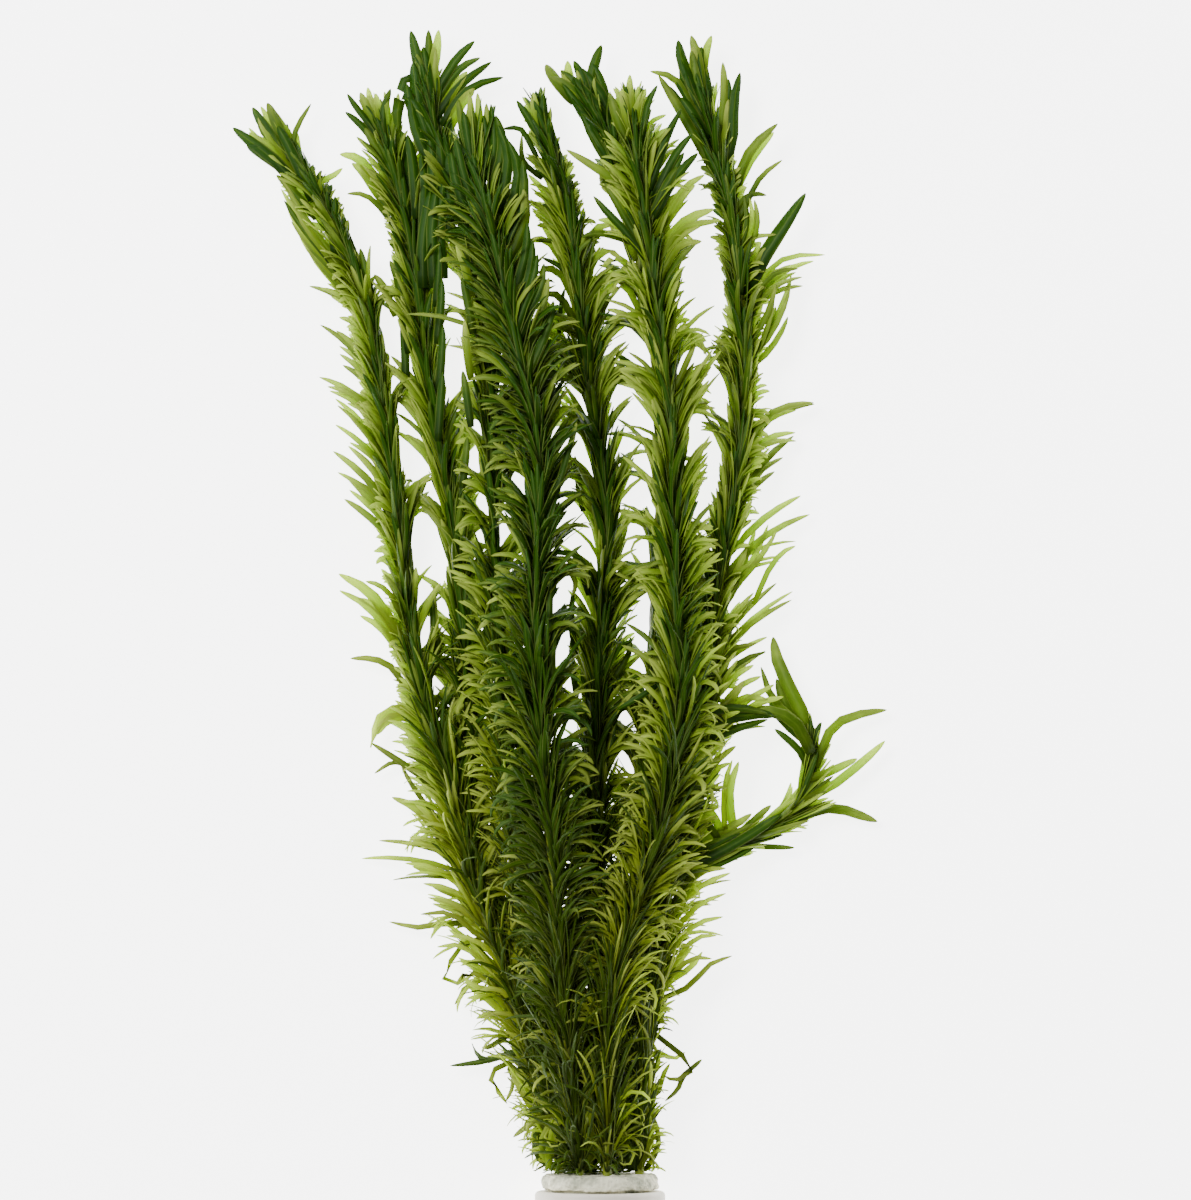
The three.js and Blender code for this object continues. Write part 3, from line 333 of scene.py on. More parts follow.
    (0.5, 1.3, 0.8, [(8, 196), (5, 202), (2.6, 204.4), (-0.4, 204.8)]),
    (0.5, 1.3, 0.7, [(8.4, 190), (5.4, 195.6), (3, 196.6), (0.4, 194.6)]),
    (0.5, 1.2, 0.6, [(9, 184), (6.4, 189.4), (4, 190.8), (1.4, 188.4)]),
    (1, 1.6, -0.2, [(4.6, 0.5), (6.4, 4), (8, 8)]),
    (1, 1.7, -0.2, [(5, 0.5), (5.6, 6), (5.2, 12)]),
    (0.4, 2, 0.25, [(-5.5, 230), (-8.6, 233.6), (-10.4, 236), (-11.7, 238.2)]),
    (0.4, 1.9, 0.8, [(-4, 230), (-6.4, 234), (-7, 239)]),
    (0.4, 1.8, -0.15, [(-2.4, 229.5), (-3.6, 234.6), (-5.6, 239)]),
    (0.4, 1.9, 0.1, [(-2, 229), (-2, 234.6), (-1, 238.8), (0.3, 242.4)]),
    (0.4, 2, 0.6, [(-3.6, 228.6), (-5.2, 233.2), (-8.4, 237)]),
    (0.4, 1.8, -0.3, [(3.6, 214.6), (0.4, 220.4), (-3.2, 227), (-8.2, 234.2)]),
    (0.4, 1.7, -0.3, [(5.4, 211), (1.6, 217.4), (-1.4, 222.4), (-4, 227.6)]),
  ],
  "stem_7": [
    (0.1, 1, 0.8, [(5, 224), (4.4, 229), (3.4, 233)]),
    (0.1, 1, 0.7, [(7, 225), (7.6, 229.6), (8.2, 233.4)]),
    (0.5, 1, -1, [(12.4, 104.8, 19), (9, 102.6, 20), (6, 100.8, 20), (3.6, 99.4, 19)]),
    (0.5, 1.5, 0.1, [(10.6, 213), (13, 219.6), (15.4, 225)]),
    (0.5, 1.5, 0.2, [(11, 205), (14, 211.6), (16.6, 216)]),
    (0.5, 1.5, 0, [(11.6, 208), (15, 214), (18, 219)]),
    (0.7, 1.4, 0.4, [(16, 168), (18.6, 174), (20.4, 178)]),
    (0.4, 1.6, 0.6, [(7, 223), (6.4, 230), (6.4, 235.8)]),
    (0.4, 1.8, 0.9, [(6.6, 222), (5.6, 228), (4.6, 232.8)]),
    (0.4, 1.7, 0.85, [(7.4, 222), (8, 228), (9.8, 232.8)]),
    (0.4, 1.7, 0.3, [(6, 221), (3.6, 226.6), (2, 232)]),
    (0.4, 1.3, -0.1, [(8.4, 219), (9.6, 226), (10.4, 230), (12.3, 233.5)]),
    (0.4, 0.9, 0.7, [(9, 223), (11.2, 225.8), (14.2, 227.2)]),
    (0.4, 1.4, -0.25, [(10.6, 211), (12.8, 217.6), (14.6, 223), (17.4, 228.3)]),
    (0.4, 1.5, -0.1, [(11.4, 209), (15, 216.5), (17, 219.8), (19.7, 223)]),
    (0.4, 1.6, -0.1, [(11.6, 205), (14.6, 211), (17.6, 215.4), (21, 218.9)]),
    (0.5, 1.4, 0.75, [(12, 201), (15.6, 207.4), (18.4, 211.6), (22.4, 214.2)]),
    (0.5, 1.2, 0.8, [(12, 199), (15, 205), (18, 209.8), (20.4, 212)]),
    (0.5, 1.8, 0.85, [(11.4, 195), (15.4, 201.4), (19.4, 205), (24.4, 206.8)]),
    (0.5, 1.4, 0.6, [(12, 193), (15.8, 200.6), (20, 203.4), (26, 204.4)]),
    (0.5, 1.5, 0.6, [(12, 190), (15, 196.6), (17.6, 199.4), (21.8, 199.9)]),
    (0.4, 1.6, 0.4, [(8.2, 206), (3.6, 212.4), (-1, 215.8), (-7.2, 219.6)]),
    (0.4, 1.4, 0, [(10, 196), (5, 202.6), (2, 205.6), (-1.4, 209.6)]),
    (0.4, 1.2, 0.1, [(10, 197), (5.6, 204.6), (3, 209), (1, 212.4)]),
  ],
  "stem_8": [
    (0.1, 1, 0.8, [(20.6, 232), (21, 237), (21.4, 242)]),
    (0.1, 1, 0.7, [(27, 220), (28.6, 227), (29.4, 234.4)]),
    (0.5, 1, 0.8, [(29.6, 211), (32.4, 217), (35.6, 221.4), (37.4, 223.6)]),
    (0.5, 1, 0.5, [(29, 194), (31, 199), (33, 201), (38, 201.6)]),
    (0.5, 1, 0, [(31.6, 188), (36.4, 198), (40.2, 203.6), (43.4, 208)]),
    (0.5, 1, 0.8, [(33, 122), (36, 129), (39, 133), (42, 134.6)]),
    (0.3, 2, -0.2, [(22, 226), (20, 230), (18.4, 234), (17.4, 239)]),
    (0.3, 2, 0.3, [(23, 228), (21.4, 232), (20.4, 236), (19.8, 241)]),
    (0.3, 1.9, 0.1, [(23.4, 230), (22.8, 234), (22, 238), (21.8, 242)]),
    (0.3, 2, -0.3, [(20.4, 224), (18, 228), (16, 231), (14.4, 233.6)]),
    (0.3, 1.7, -0.1, [(25.6, 222), (26.6, 227), (27.4, 231), (27.6, 235)]),
    (1, 1.6, -0.1, [(6.5, 0.5), (6.2, 5), (6.8, 10)]),
    (1, 1.7, -0.3, [(7.4, 0.5), (7.4, 5), (6.4, 11)]),
    (1, 1.3, 0.9, [(12, 44), (17, 50), (21, 53.6), (26.4, 55)]),
    (1, 1.2, 0.7, [(13, 48), (18, 54.4), (22, 58), (27, 60)]),
    (1, 1.2, 0.8, [(12, 40), (16.6, 46), (20.6, 50.4), (25, 51)]),
    (1, 1.2, 0.6, [(11, 36), (15, 42), (19.6, 46), (24, 46)]),
    (1, 1.3, 0.9, [(14, 54), (19, 59.4), (23, 62.4), (28, 64.4)]),
    (1, 1.3, 0.5, [(15, 57), (19, 63), (23, 65), (27, 65.4)]),
    (0.4, 2.1, -0.15, [(21.4, 229), (19.2, 235), (17.6, 239), (16.8, 243.4)]),
    (0.4, 2, 0.4, [(21.8, 230), (21.4, 236), (20.8, 240), (19.6, 244.4)]),
    (0.4, 1.6, 0.6, [(22, 231), (22.2, 237), (22.8, 241), (24, 244.4)]),
    (0.4, 1.9, 0.85, [(21.6, 231), (20.4, 237), (20, 242)]),
    (0.4, 1.3, 0.35, [(22.4, 224), (18.4, 231.6), (15.6, 235.4), (10.8, 236.7)]),
    (0.4, 1.7, 0.25, [(24.6, 215), (20, 223.4), (16.2, 230), (12.6, 235.8)]),
    (0.4, 2.2, -0.1, [(22.6, 226), (19.4, 231), (16.6, 235)]),
    (0.4, 2, 0, [(23, 222), (20, 227.4), (17.4, 231)]),
    (0.4, 2, -0.1, [(22, 228), (20, 233), (18.4, 237)]),
    (0.4, 1.3, -0.3, [(23.4, 219), (20.4, 224), (18.2, 226.6), (17, 228.2)]),
    (0.4, 1.7, 0.45, [(25.4, 219), (26.4, 226), (26.8, 232), (26.4, 238.6)]),
    (0.4, 1.8, 0.8, [(26, 218), (27.4, 224), (27.6, 230.6)]),
    (0.4, 1.9, -0.2, [(27, 216), (28.6, 223), (28.8, 230), (30.1, 236.4)]),
    (0.5, 1.7, 0.3, [(28.4, 209), (30.4, 215.6), (33, 220.6), (38.2, 225.4)]),
    (0.5, 1, 0.3, [(29.6, 204), (32.6, 210.6), (35, 214.4), (39.2, 217.6)]),
    (0.5, 1, 0.3, [(29, 206), (31, 209.4), (33.4, 210.3), (35.8, 210)]),
    (0.5, 1, 0.5, [(30, 196), (33.4, 201.4), (33.8, 205.4), (33.2, 209)]),
    (0.5, 1, 0.9, [(30.2, 197), (32.2, 201.6), (32.8, 205), (32.2, 209.4)]),
    (0.5, 1, 0.2, [(30, 198), (31.4, 202), (31.6, 205.6), (31, 210)]),
    (0.5, 1.1, 0.85, [(30.6, 193), (33, 197), (34.6, 200)]),
    (0.5, 1, 0.5, [(30.4, 191), (33.8, 196), (35.6, 198.8)]),
    (0.5, 2.6, -0.25, [(31.8, 190), (35.6, 197.4), (39, 202.6), (44.2, 210.4)]),
    (0.5, 1, 0.8, [(32, 186), (36, 193.6), (41, 196.8), (48.4, 197.2)]),
    (0.5, 0.9, 0.3, [(32, 184), (35, 190.6), (38.4, 193.6), (42.6, 194.2)]),
    (0.7, 2.6, 0, [(17, 90, 15), (21, 94.5, 14), (27, 97.4, 13), (34, 98.6, 12),
                   (37.4, 97.9, 11.5)]),
    (0.7, 2.2, 0.05, [(18, 88, 14), (22.5, 92.4, 13), (28, 95, 12.5), (36, 97.3, 12)]),
    (0.7, 2, 0.1, [(19, 94, 15), (24, 99, 14), (30, 99.8, 13), (36, 98.6, 12.5)]),
    (0.7, 1.3, 0.2, [(22, 101, 13), (26.5, 106.5, 12), (31, 110.2, 11), (35.6, 111.8, 10)]),
    (0.7, 1.2, 0.3, [(25, 110, 12), (29, 112.6, 11), (33.6, 113.6, 10)]),
    (0.7, 1.8, 0.75, [(24, 98, 13), (28, 101.5, 13), (31, 105.6, 12)]),
    (0.7, 1.6, 0.8, [(26, 99, 13), (31, 102, 12), (36, 101.6, 12)]),
    (0.7, 1.5, 0.95, [(26, 96.6, 13), (31.6, 101.4, 12), (37.4, 104.8, 12)]),
    (0.7, 1.5, 0.9, [(27, 96, 13), (33, 100.4, 12), (39.4, 102.2, 12)]),
    (0.7, 1.4, 0.8, [(25, 99, 13), (30, 104.4, 12), (34.6, 106.6, 12)]),
    (0.7, 1.4, 0.9, [(24, 101, 13), (29, 106.6, 12), (33, 109, 12)]),
    (0.8, 1.8, 0.7, [(18.5, 79, 15), (20.6, 86, 15), (23.8, 90.6, 14), (27.4, 92.6, 13)]),
    (0.8, 1.5, 0.6, [(20, 80, 14), (23, 86, 14), (26.4, 89.6, 13), (29.2, 91.6, 12)]),
    (0.8, 1.4, 0.8, [(19, 77, 13), (22, 83, 13), (25, 86.6, 12), (28, 88, 12)]),
  ],
  "stem_1": [
    (0.1, 1, 0.7, [(-67, 215), (-72, 220.4), (-75.6, 224.6)]),
    (1, 1.3, 0.8, [(-18, 30), (-21.6, 35), (-25, 37.6), (-28.6, 37.4)]),
    (1, 1.3, 0.6, [(-17, 28), (-20.6, 32.6), (-24, 34), (-26.6, 33)]),
    (1, 1.3, 0.9, [(-19, 34), (-23, 38.4), (-27, 40), (-29.4, 42)]),
    (1, 1.2, 0.5, [(-20.4, 36), (-24, 41.4), (-28.4, 42.8), (-31, 40.4)]),
    (0.6, 1.4, 0.2, [(-49.4, 189), (-50.6, 194), (-51.6, 198.6)]),
    (0.3, 2, 0.2, [(-66, 217), (-69, 220.6), (-71.6, 223.2), (-73.6, 226)]),
    (0.3, 2, -0.1, [(-67, 215), (-70.6, 217.6), (-73.6, 219.6), (-76, 220.9)]),
    (0.3, 1.9, 0.5, [(-65, 219), (-67.4, 223), (-69.4, 226), (-70.6, 228.6)]),
    (0.4, 1.5, 0.2, [(-61, 205), (-64, 208.6), (-67, 212), (-69.6, 214.4)]),
    (0.4, 2.1, -0.1, [(-65, 212), (-70, 217.6), (-74.4, 221), (-79, 224.6)]),
    (0.4, 2, 0.1, [(-65.6, 216), (-70, 222), (-72.6, 225.4), (-74.8, 229)]),
    (0.4, 2.1, 0.25, [(-66, 217), (-68.4, 222.6), (-70, 226.4), (-71.6, 230)]),
    (0.4, 1.4, 0.8, [(-66, 216), (-70.6, 222), (-73.6, 226.8)]),
    (0.4, 1.4, 0.7, [(-66.4, 217.4), (-70, 224), (-73, 229.2)]),
    (0.4, 1.5, 0.7, [(-65, 213.4), (-70.4, 219.8), (-75.6, 223.6)]),
    (0.4, 1.9, -0.3, [(-62, 209), (-64.8, 216), (-67.4, 221.4), (-69.4, 225)]),
    (0.4, 1, 0.2, [(-65.4, 218), (-66, 221.6), (-65, 225.2), (-62.2, 229.8)]),
    (0.4, 1.2, 0.9, [(-61, 208), (-60, 213), (-57.8, 214), (-55.4, 215.9)]),
    (0.5, 1.5, 0, [(-57, 197), (-57.6, 202), (-57, 206), (-57, 209.8)]),
    (0.5, 1.4, 0.2, [(-54.6, 194), (-55.8, 199), (-54.8, 202), (-54.2, 204.8)]),
    (0.5, 1.2, 0.4, [(-55, 194), (-60, 200.4), (-64.4, 206.6), (-68.4, 213.4)]),
    (0.5, 1.1, 1, [(-55, 193), (-60.4, 199.4), (-65, 205.6), (-68.6, 211.4)]),
    (0.5, 1.1, 0.6, [(-56, 193.6), (-61.2, 200.8), (-64.2, 205.2), (-67.4, 209.8)]),
    (0.5, 1.1, 0.1, [(-55, 192), (-60.2, 198.4), (-64.6, 203.8), (-68, 209)]),
    (0.5, 1.1, 1, [(-54, 190), (-59.6, 196.6), (-64, 201.8), (-67.2, 207)]),
    (0.5, 1.1, 0.7, [(-54.4, 192), (-59.2, 197.8), (-63, 202.8), (-66, 207.8)]),
    (0.5, 1, 0.3, [(-53.4, 189.4), (-58.6, 195), (-62.8, 199.4), (-66.4, 204.4)]),
    (0.5, 1, 1, [(-53, 188), (-58, 193.4), (-61.8, 197.2), (-64.8, 201.6)]),
    (0.5, 1.1, 0.9, [(-52.4, 184), (-56.4, 190.4), (-60, 194.4), (-63, 198.6)]),
    (0.5, 1.1, 0.4, [(-52.8, 186), (-57, 191.6), (-60.6, 195.6), (-63.8, 200.4)]),
    (0.9, 2.8, 0.95, [(-39.5, 99, 8), (-43, 99.4, 7.5), (-46.6, 98, 7), (-48.4, 95, 6.5),
                      (-49.4, 91.2, 6)]),
    (0.9, 2.2, 0.8, [(-39, 97.2, 8), (-42.5, 98, 8), (-46, 97, 7.5), (-48, 94, 7)]),
    (0.9, 1.5, 0.3, [(-34.5, 82, 8), (-39, 85.4, 7), (-44, 88.8, 6), (-49.3, 92.2, 5)]),
    (0.9, 1, 0.3, [(-42, 87.6, 5), (-45, 87.9, 4.5), (-48.6, 85.6, 4)]),
    (0.9, 1.1, 0.3, [(-35, 76, 8), (-38.6, 80.4, 7), (-41, 84, 6.5), (-42.8, 87.4, 6)]),
    (0.9, 1.9, 0.6, [(-32, 68, 8), (-35.5, 74, 7.5), (-40, 78.4, 7), (-44.8, 80.5, 6)]),
    (0.9, 1.6, 0.8, [(-32.5, 70, 8.5), (-36, 76, 8), (-40, 79.6, 7.5)]),
    (0.9, 1.5, 0.4, [(-41.6, 104, 8), (-45, 108.6, 6.5), (-49, 110.3, 5), (-53.8, 110.4, 4)]),
    (0.7, 2.4, 0.9, [(-42, 113), (-46, 120), (-50, 125), (-56.2, 128.6)]),
    (0.7, 1.8, 0.7, [(-41.6, 110), (-45.4, 116), (-50, 121.6), (-56, 125)]),
    (0.7, 1.2, 0.5, [(-42.6, 119), (-45, 124), (-47.6, 126.2), (-50.4, 127)]),
    (0.7, 1.8, 0.6, [(-41.4, 112), (-44.4, 117), (-48, 121.4), (-52, 123.4)]),
    (0.7, 1.6, 0.8, [(-41.4, 108), (-44, 113), (-47.6, 117.4), (-51.6, 119.6)]),
    (1, 1.1, 0.5, [(-25.5, 50.5, 7), (-30.5, 48, 6), (-31.3, 45.8, 6), (-33.8, 43.8, 6),
                   (-33.6, 41.4, 6), (-31.6, 40.3, 6), (-28.6, 41.2, 6.5), (-27, 43.6, 7)]),
    (1, 1.2, 0.4, [(-24, 42, 6), (-27, 40.5, 6), (-29, 39.5, 5), (-30, 37.6, 5), (-31.3, 35.8, 4)]),
    (0.9, 1.5, -0.1, [(-9, 27.5, 13), (-16, 26.2, 10), (-22, 24.6, 7), (-26, 23.4, 5),
                      (-32.3, 22.6, 4)]),
    (0.9, 1.3, 0, [(-19, 25.4, 7), (-24, 23.8, 6), (-26.4, 25, 5), (-27.6, 27.4, 4)]),
    (0.9, 1.2, 0.3, [(-17, 30.5, 8), (-21, 28.6, 7), (-23.6, 26.8, 6), (-25.4, 26.6, 5)]),
    (1, 1.2, 0.4, [(-17, 25, 6), (-20.5, 22.7, 5), (-23.3, 21.5, 4.5), (-23.4, 19, 4),
                   (-21.6, 16.6, 4), (-20, 14.4, 4)]),
    (1, 1.1, 0.3, [(-17.5, 25.5, 7), (-19.8, 23, 6), (-18.7, 20.5, 6), (-19, 17.5, 5),
                   (-20.4, 14.8, 4)]),
    (1, 1.3, 0.3, [(-11, 12, 8), (-14.5, 10.3, 7), (-16.5, 9, 5), (-18.7, 7.2, 3)]),
    (0.9, 1.7, 0.1, [(-11.5, 14, 9), (-13.7, 8, 9), (-13.6, 3.6, 9), (-10.6, 0.8, 10)]),
    (0.8, 1.7, 0.95, [(-11, 1, 17), (-10.7, 6, 18), (-9.3, 11, 19), (-5.5, 15.5, 19)]),
    (0.8, 1.5, 0.6, [(-9.3, 0.8, 16), (-12.4, 4, 15), (-11.8, 9, 15), (-8, 14, 16)]),
    (0.8, 2.2, 0.35, [(-2.6, 1, 20.6), (-2.2, 8, 23), (-2.9, 16, 23.6), (-2.6, 21, 23)]),
    (1, 2.9, 0.55, [(-9.5, 10, 10), (-13, 16, 9.5), (-16, 22, 9), (-18.8, 28, 8)]),
    (1, 2.6, 0.5, [(-11, 9, 9), (-14.5, 14.5, 8.5), (-17.3, 19, 8), (-19, 23, 7.5)]),
    (1, 2.8, 0.45, [(-9.8, 15, 11), (-12.4, 21, 10.8), (-15, 26, 10), (-17.5, 31, 9)]),
    (1, 2.6, 0.6, [(-10.5, 7, 10.5), (-12.4, 13, 11), (-13.4, 18, 11), (-15, 23, 10)]),
    (1, 1.6, 0.8, [(-14, 24, 8), (-18.6, 31, 7), (-23.5, 36.5, 6.5), (-28.8, 40, 6)]),
    (1, 1.5, 0.7, [(-16, 29, 9), (-19, 36, 8), (-25, 42.5, 7), (-30.5, 46, 6)]),
    (1, 1.5, 0.75, [(-19, 38, 8), (-23, 44.5, 7), (-28, 49, 6), (-32.6, 52, 5)]),
    (1, 1.6, 0.6, [(-21, 43, 8), (-25, 51, 7), (-30, 55.5, 6.5), (-36, 57.6, 6)]),
    (1, 1.4, 0.5, [(-23, 50, 8), (-27.5, 57.5, 7), (-33, 60, 6), (-36.4, 61.6, 6)]),
    (1, 1.6, 0.7, [(-25, 60, 7), (-30, 63.6, 7), (-35, 64, 6.5), (-40.4, 65.6, 6)]),
    (1, 1.5, 0.6, [(-26, 63, 8), (-31, 66, 8), (-36, 70, 7), (-41, 72, 7)]),
    (1, 1.4, 0.4, [(-23, 49, 7), (-28, 53, 6), (-33, 53.4, 5), (-39, 52.4, 4), (-45.4, 53.6, 3)]),
    (1, 1.3, 0.8, [(-22, 52), (-28, 58), (-33, 61), (-38, 62)]),
    (1, 1.3, 0.6, [(-20, 46), (-26, 53), (-31, 57.4), (-37, 59)]),
    (1, 1.2, 0.9, [(-17, 38), (-22, 45.6), (-27, 50), (-33, 50.8)]),
    (1, 1.2, 0.7, [(-16, 36), (-21, 42), (-25.6, 45.4), (-30, 44.4)]),
    (1, 1.2, 0.8, [(-14, 30), (-18.6, 36.6), (-22.6, 39.6), (-27, 38.4)]),
    (1, 1.1, 0.5, [(-13, 26), (-17, 32), (-21, 34.4), (-25.6, 33)]),
    (1, 1.1, 0.8, [(-12, 22), (-15.6, 27.6), (-19.6, 29.8), (-23.6, 30.4)]),
    (1, 1.3, 0.9, [(-24, 56), (-30, 61.6), (-36, 65.4), (-42, 66.4)]),
    (1, 1.3, 0.6, [(-26, 60), (-31.6, 67), (-37, 70.4), (-43, 70.6)]),
    (1, 1.2, 0.4, [(-21, 48), (-27, 51.4), (-32, 55.6), (-38.6, 55.4)]),
    (1, 1.2, 0.8, [(-19, 40), (-24, 44), (-29.6, 48.6), (-35, 48.4)]),
    (1, 1.2, 0.3, [(9, 31.5, 14), (13, 29, 13), (17.5, 25.3, 12), (20, 22.6, 11),
                   (18, 20.6, 11), (15.8, 19.8, 12), (13.8, 20.8, 12)]),
    (1, 1.1, 0.3, [(18.5, 21.4, 11), (17.4, 19.6, 11), (16.6, 17.6, 10), (14, 15.2, 9)]),
    (1, 1, 0.2, [(17.5, 20.6, 11), (20, 22.6, 11), (21.9, 24.2, 10)]),
    (1, 1.1, 0.7, [(8.6, 23.6, 13), (12.5, 26, 12), (15.5, 24.4, 12), (18.3, 25.8, 11)]),
    (1, 1.2, 0.6, [(8.6, 19, 13), (11.6, 21.6, 12), (12.6, 24.6, 12), (11, 28.4, 12)]),
    (1, 1.2, 0.5, [(9.4, 15, 13), (12.6, 17.4, 12), (13.4, 20.6, 12), (15, 23.4, 12)]),
    (1, 1.2, 0.2, [(7.6, 32.6, 14), (11.6, 35, 13), (14.4, 38, 12)]),
    (1, 1.3, 0.4, [(12, 37.2, 12), (17, 38.6, 11), (20.5, 41.3, 10), (23.6, 44.6, 9),
                   (28.4, 46.4, 8)]),
    (1, 1.4, 0.9, [(10.5, 37, 13), (15.5, 41.4, 12), (19.5, 44, 11), (22, 47.4, 11)]),
    (1, 1.4, 0.8, [(10, 35, 14), (12.6, 40, 13), (16.6, 44.8, 12), (20, 48.6, 12)]),
    (1, 1.3, 0.3, [(9.6, 0.6, 15), (11.8, 4, 15), (12.6, 8, 14), (10.8, 14, 14)]),
    (1, 1.2, 0.5, [(8.4, 1, 17), (10.8, 6, 17), (10.6, 12, 17), (8.4, 18, 17)]),
  ],
}

# Openings in which the surface shows between the stems, each an upright oval: its middle's
# x and y, half its width and height, and the degrees by which its top leans to the left
OPENINGS = [
    (-50, 202, 3.6, 11, 20), (-44.3, 179.5, 2.2, 7.5, 18), (-44.4, 169.3, 0.9, 1.8, -15),
    (-41.5, 162, 1.3, 4.3, 30), (-40.3, 153.5, 2.6, 5, 25), (-35.9, 146.3, 0.8, 2.5, 20),
    (-37, 134, 3.6, 8.3, 12), (-38.2, 124, 1.4, 2.8, -5), (-34, 121.5, 0.9, 2, 5),
    (-37.7, 116, 0.9, 3, -20), (-35, 105.2, 0.8, 1.5, 45), (-31.5, 190, 2.2, 5.5, 28),
    (-31.3, 182, 2.4, 2.4, 0), (-31.6, 173, 1.8, 6.5, 0), (-26.3, 160.3, 1, 2, 10),
    (-27.2, 153.8, 0.6, 3, -8), (-25, 143.4, 1.3, 2.2, 20), (-25.8, 137.2, 0.8, 1.3, -10),
    (-21.2, 137, 0.9, 2.2, 20), (-16.9, 148, 0.7, 3.4, 18), (-14.3, 203.6, 1.4, 3, 30),
    (-18.7, 221.4, 0.9, 1.8, 30), (-15.2, 220.6, 0.6, 2, 5), (-13, 213.4, 0.6, 1.6, 35),
    (-4.5, 225, 1.6, 8.5, 32), (-12, 196.5, 1.3, 4.5, 15), (-9, 190.5, 0.8, 3.7, -12),
    (-7, 187.6, 0.8, 1.7, 5), (-3.8, 165.5, 0.8, 3.5, 25), (-3, 154, 0.9, 5, 18),
    (-6.8, 147.5, 0.6, 1, 0), (-6, 142, 0.9, 2, -20), (-3, 140.3, 0.7, 0.8, 0),
    (-2.8, 136.2, 1.9, 1.6, 0), (-2.8, 132.5, 0.8, 2.2, 60), (-8.3, 124.3, 0.8, 4.8, -22),
    (-8, 113, 0.8, 4.2, -20), (-3.7, 123.2, 0.6, 1, 20), (-5.9, 105, 0.9, 1.6, -10),
    (-6, 96, 0.8, 1.7, 10), (0.5, 207.5, 3, 5.5, 38), (-2.7, 202.6, 1, 1, 0),
    (3.2, 198, 2.4, 3, 0), (7.8, 196.5, 1, 2.5, 30), (5.8, 187.5, 2.8, 3, 20),
    (8.5, 177, 2, 5.2, 28), (4, 167.2, 1.5, 2, 0), (9, 162, 2.6, 4.3, 30),
    (6.3, 156.3, 2.6, 1.6, 0), (9.5, 152.5, 1.6, 2.4, 20), (8, 146, 3, 3.2, -10),
    (11.5, 141.8, 0.8, 2.4, 25), (7.8, 138.4, 1.9, 1.6, -20), (9.4, 133.7, 1.7, 2.6, 0),
    (5.3, 133.3, 0.8, 1.6, -20), (9.5, 118, 1.6, 6.3, -8), (8.6, 109, 1.1, 1.6, 0),
    (10.5, 102.3, 0.6, 1.2, 20), (5.7, 97.5, 0.8, 2, 0), (5.8, 88, 1, 3, 25),
    (20, 206, 2.2, 5.5, -45), (22.5, 190, 4, 9.5, 4), (18.7, 174.8, 1.6, 3.3, -30),
    (25.6, 167.8, 1.6, 5, 5), (20.3, 158.5, 1, 5, -8), (24.6, 152.5, 1, 5.6, -5),
    (22.4, 145, 1, 4.7, -20), (31.2, 137, 1.5, 2, -30), (29, 131.8, 1, 2.6, -20),
    (30.7, 125.3, 1.5, 2.5, -30), (34, 87, 7.5, 8.5, 0), (27.5, 103, 1.2, 1.4, -30),
    (-22.3, 35.3, 0.8, 1.2, 20), (-22.3, 45, 0.6, 1.2, 20), (-27, 51, 0.9, 1.4, 30),
    (-28.6, 47, 0.8, 1.6, 25), (-31, 43, 1.9, 1.9, 0), (-36.8, 67.6, 2.6, 1.9, 0),
    (-34.5, 61.8, 2.6, 1.2, 20), (-21.3, 19.6, 1.1, 2, 0), (14.2, 22, 1.6, 1.2, 0),
    (12, 27.3, 0.7, 0.7, 0), (38, 79.8, 3, 1.3, 40), (46.4, 98.5, 1.2, 3, 0),
]

# How far the leaves reach to the left and right of their stem: height, left, right
REACH = {
    "stem_1": [(0, 4.5, 7), (20, 7, 7), (35, 10, 7), (55, 12, 7), (70, 10, 7), (90, 6.5, 6),
               (110, 3.6, 6.5), (165, 4, 5), (185, 4.3, 1.8), (200, 5, 1.3), (212, 6.6, 2),
               (218, 5, 2)],
    "stem_2": [(0, 6, 7), (90, 6, 7), (130, 6, 7), (190, 5.5, 7), (203, 3.2, 7), (215, 5, 7)],
    "stem_3": [(0, 7, 8), (100, 7, 8), (160, 6, 9), (200, 6, 10), (218, 4, 4), (232, 2.6, 3.4)],
    "stem_4": [(0, 8, 7), (100, 8, 9), (150, 8, 10), (165, 9, 12), (195, 10, 12), (208, 10, 10),
               (216, 9, 8), (224, 7, 6)],
    "stem_5": [(0, 8, 7), (100, 9, 9), (160, 9, 9), (190, 9, 9), (200, 8, 5), (215, 4, 1.5)],
    "stem_6": [(0, 7, 4), (32, 7, 4), (50, 7, 8), (100, 8, 8), (200, 8, 8), (212, 4.5, 6),
               (225, 4, 5)],
    "stem_7": [(0, 7, 7), (110, 8, 7), (150, 8, 8), (200, 8, 9), (215, 6, 9)],
    "stem_8": [(0, 6.5, 2.6), (15, 6.5, 2.4), (30, 6.5, 1.2), (38, 6.5, 3), (50, 6.5, 6),
               (100, 7, 7), (130, 8, 3.6), (150, 8, 2), (170, 7, 2), (180, 4, 3),
               (192, 2, 5), (205, 1.2, 2.4), (215, 1.5, 2.6), (225, 3.4, 4)],
    "side_shoot": [(0, 8, 8)],
}

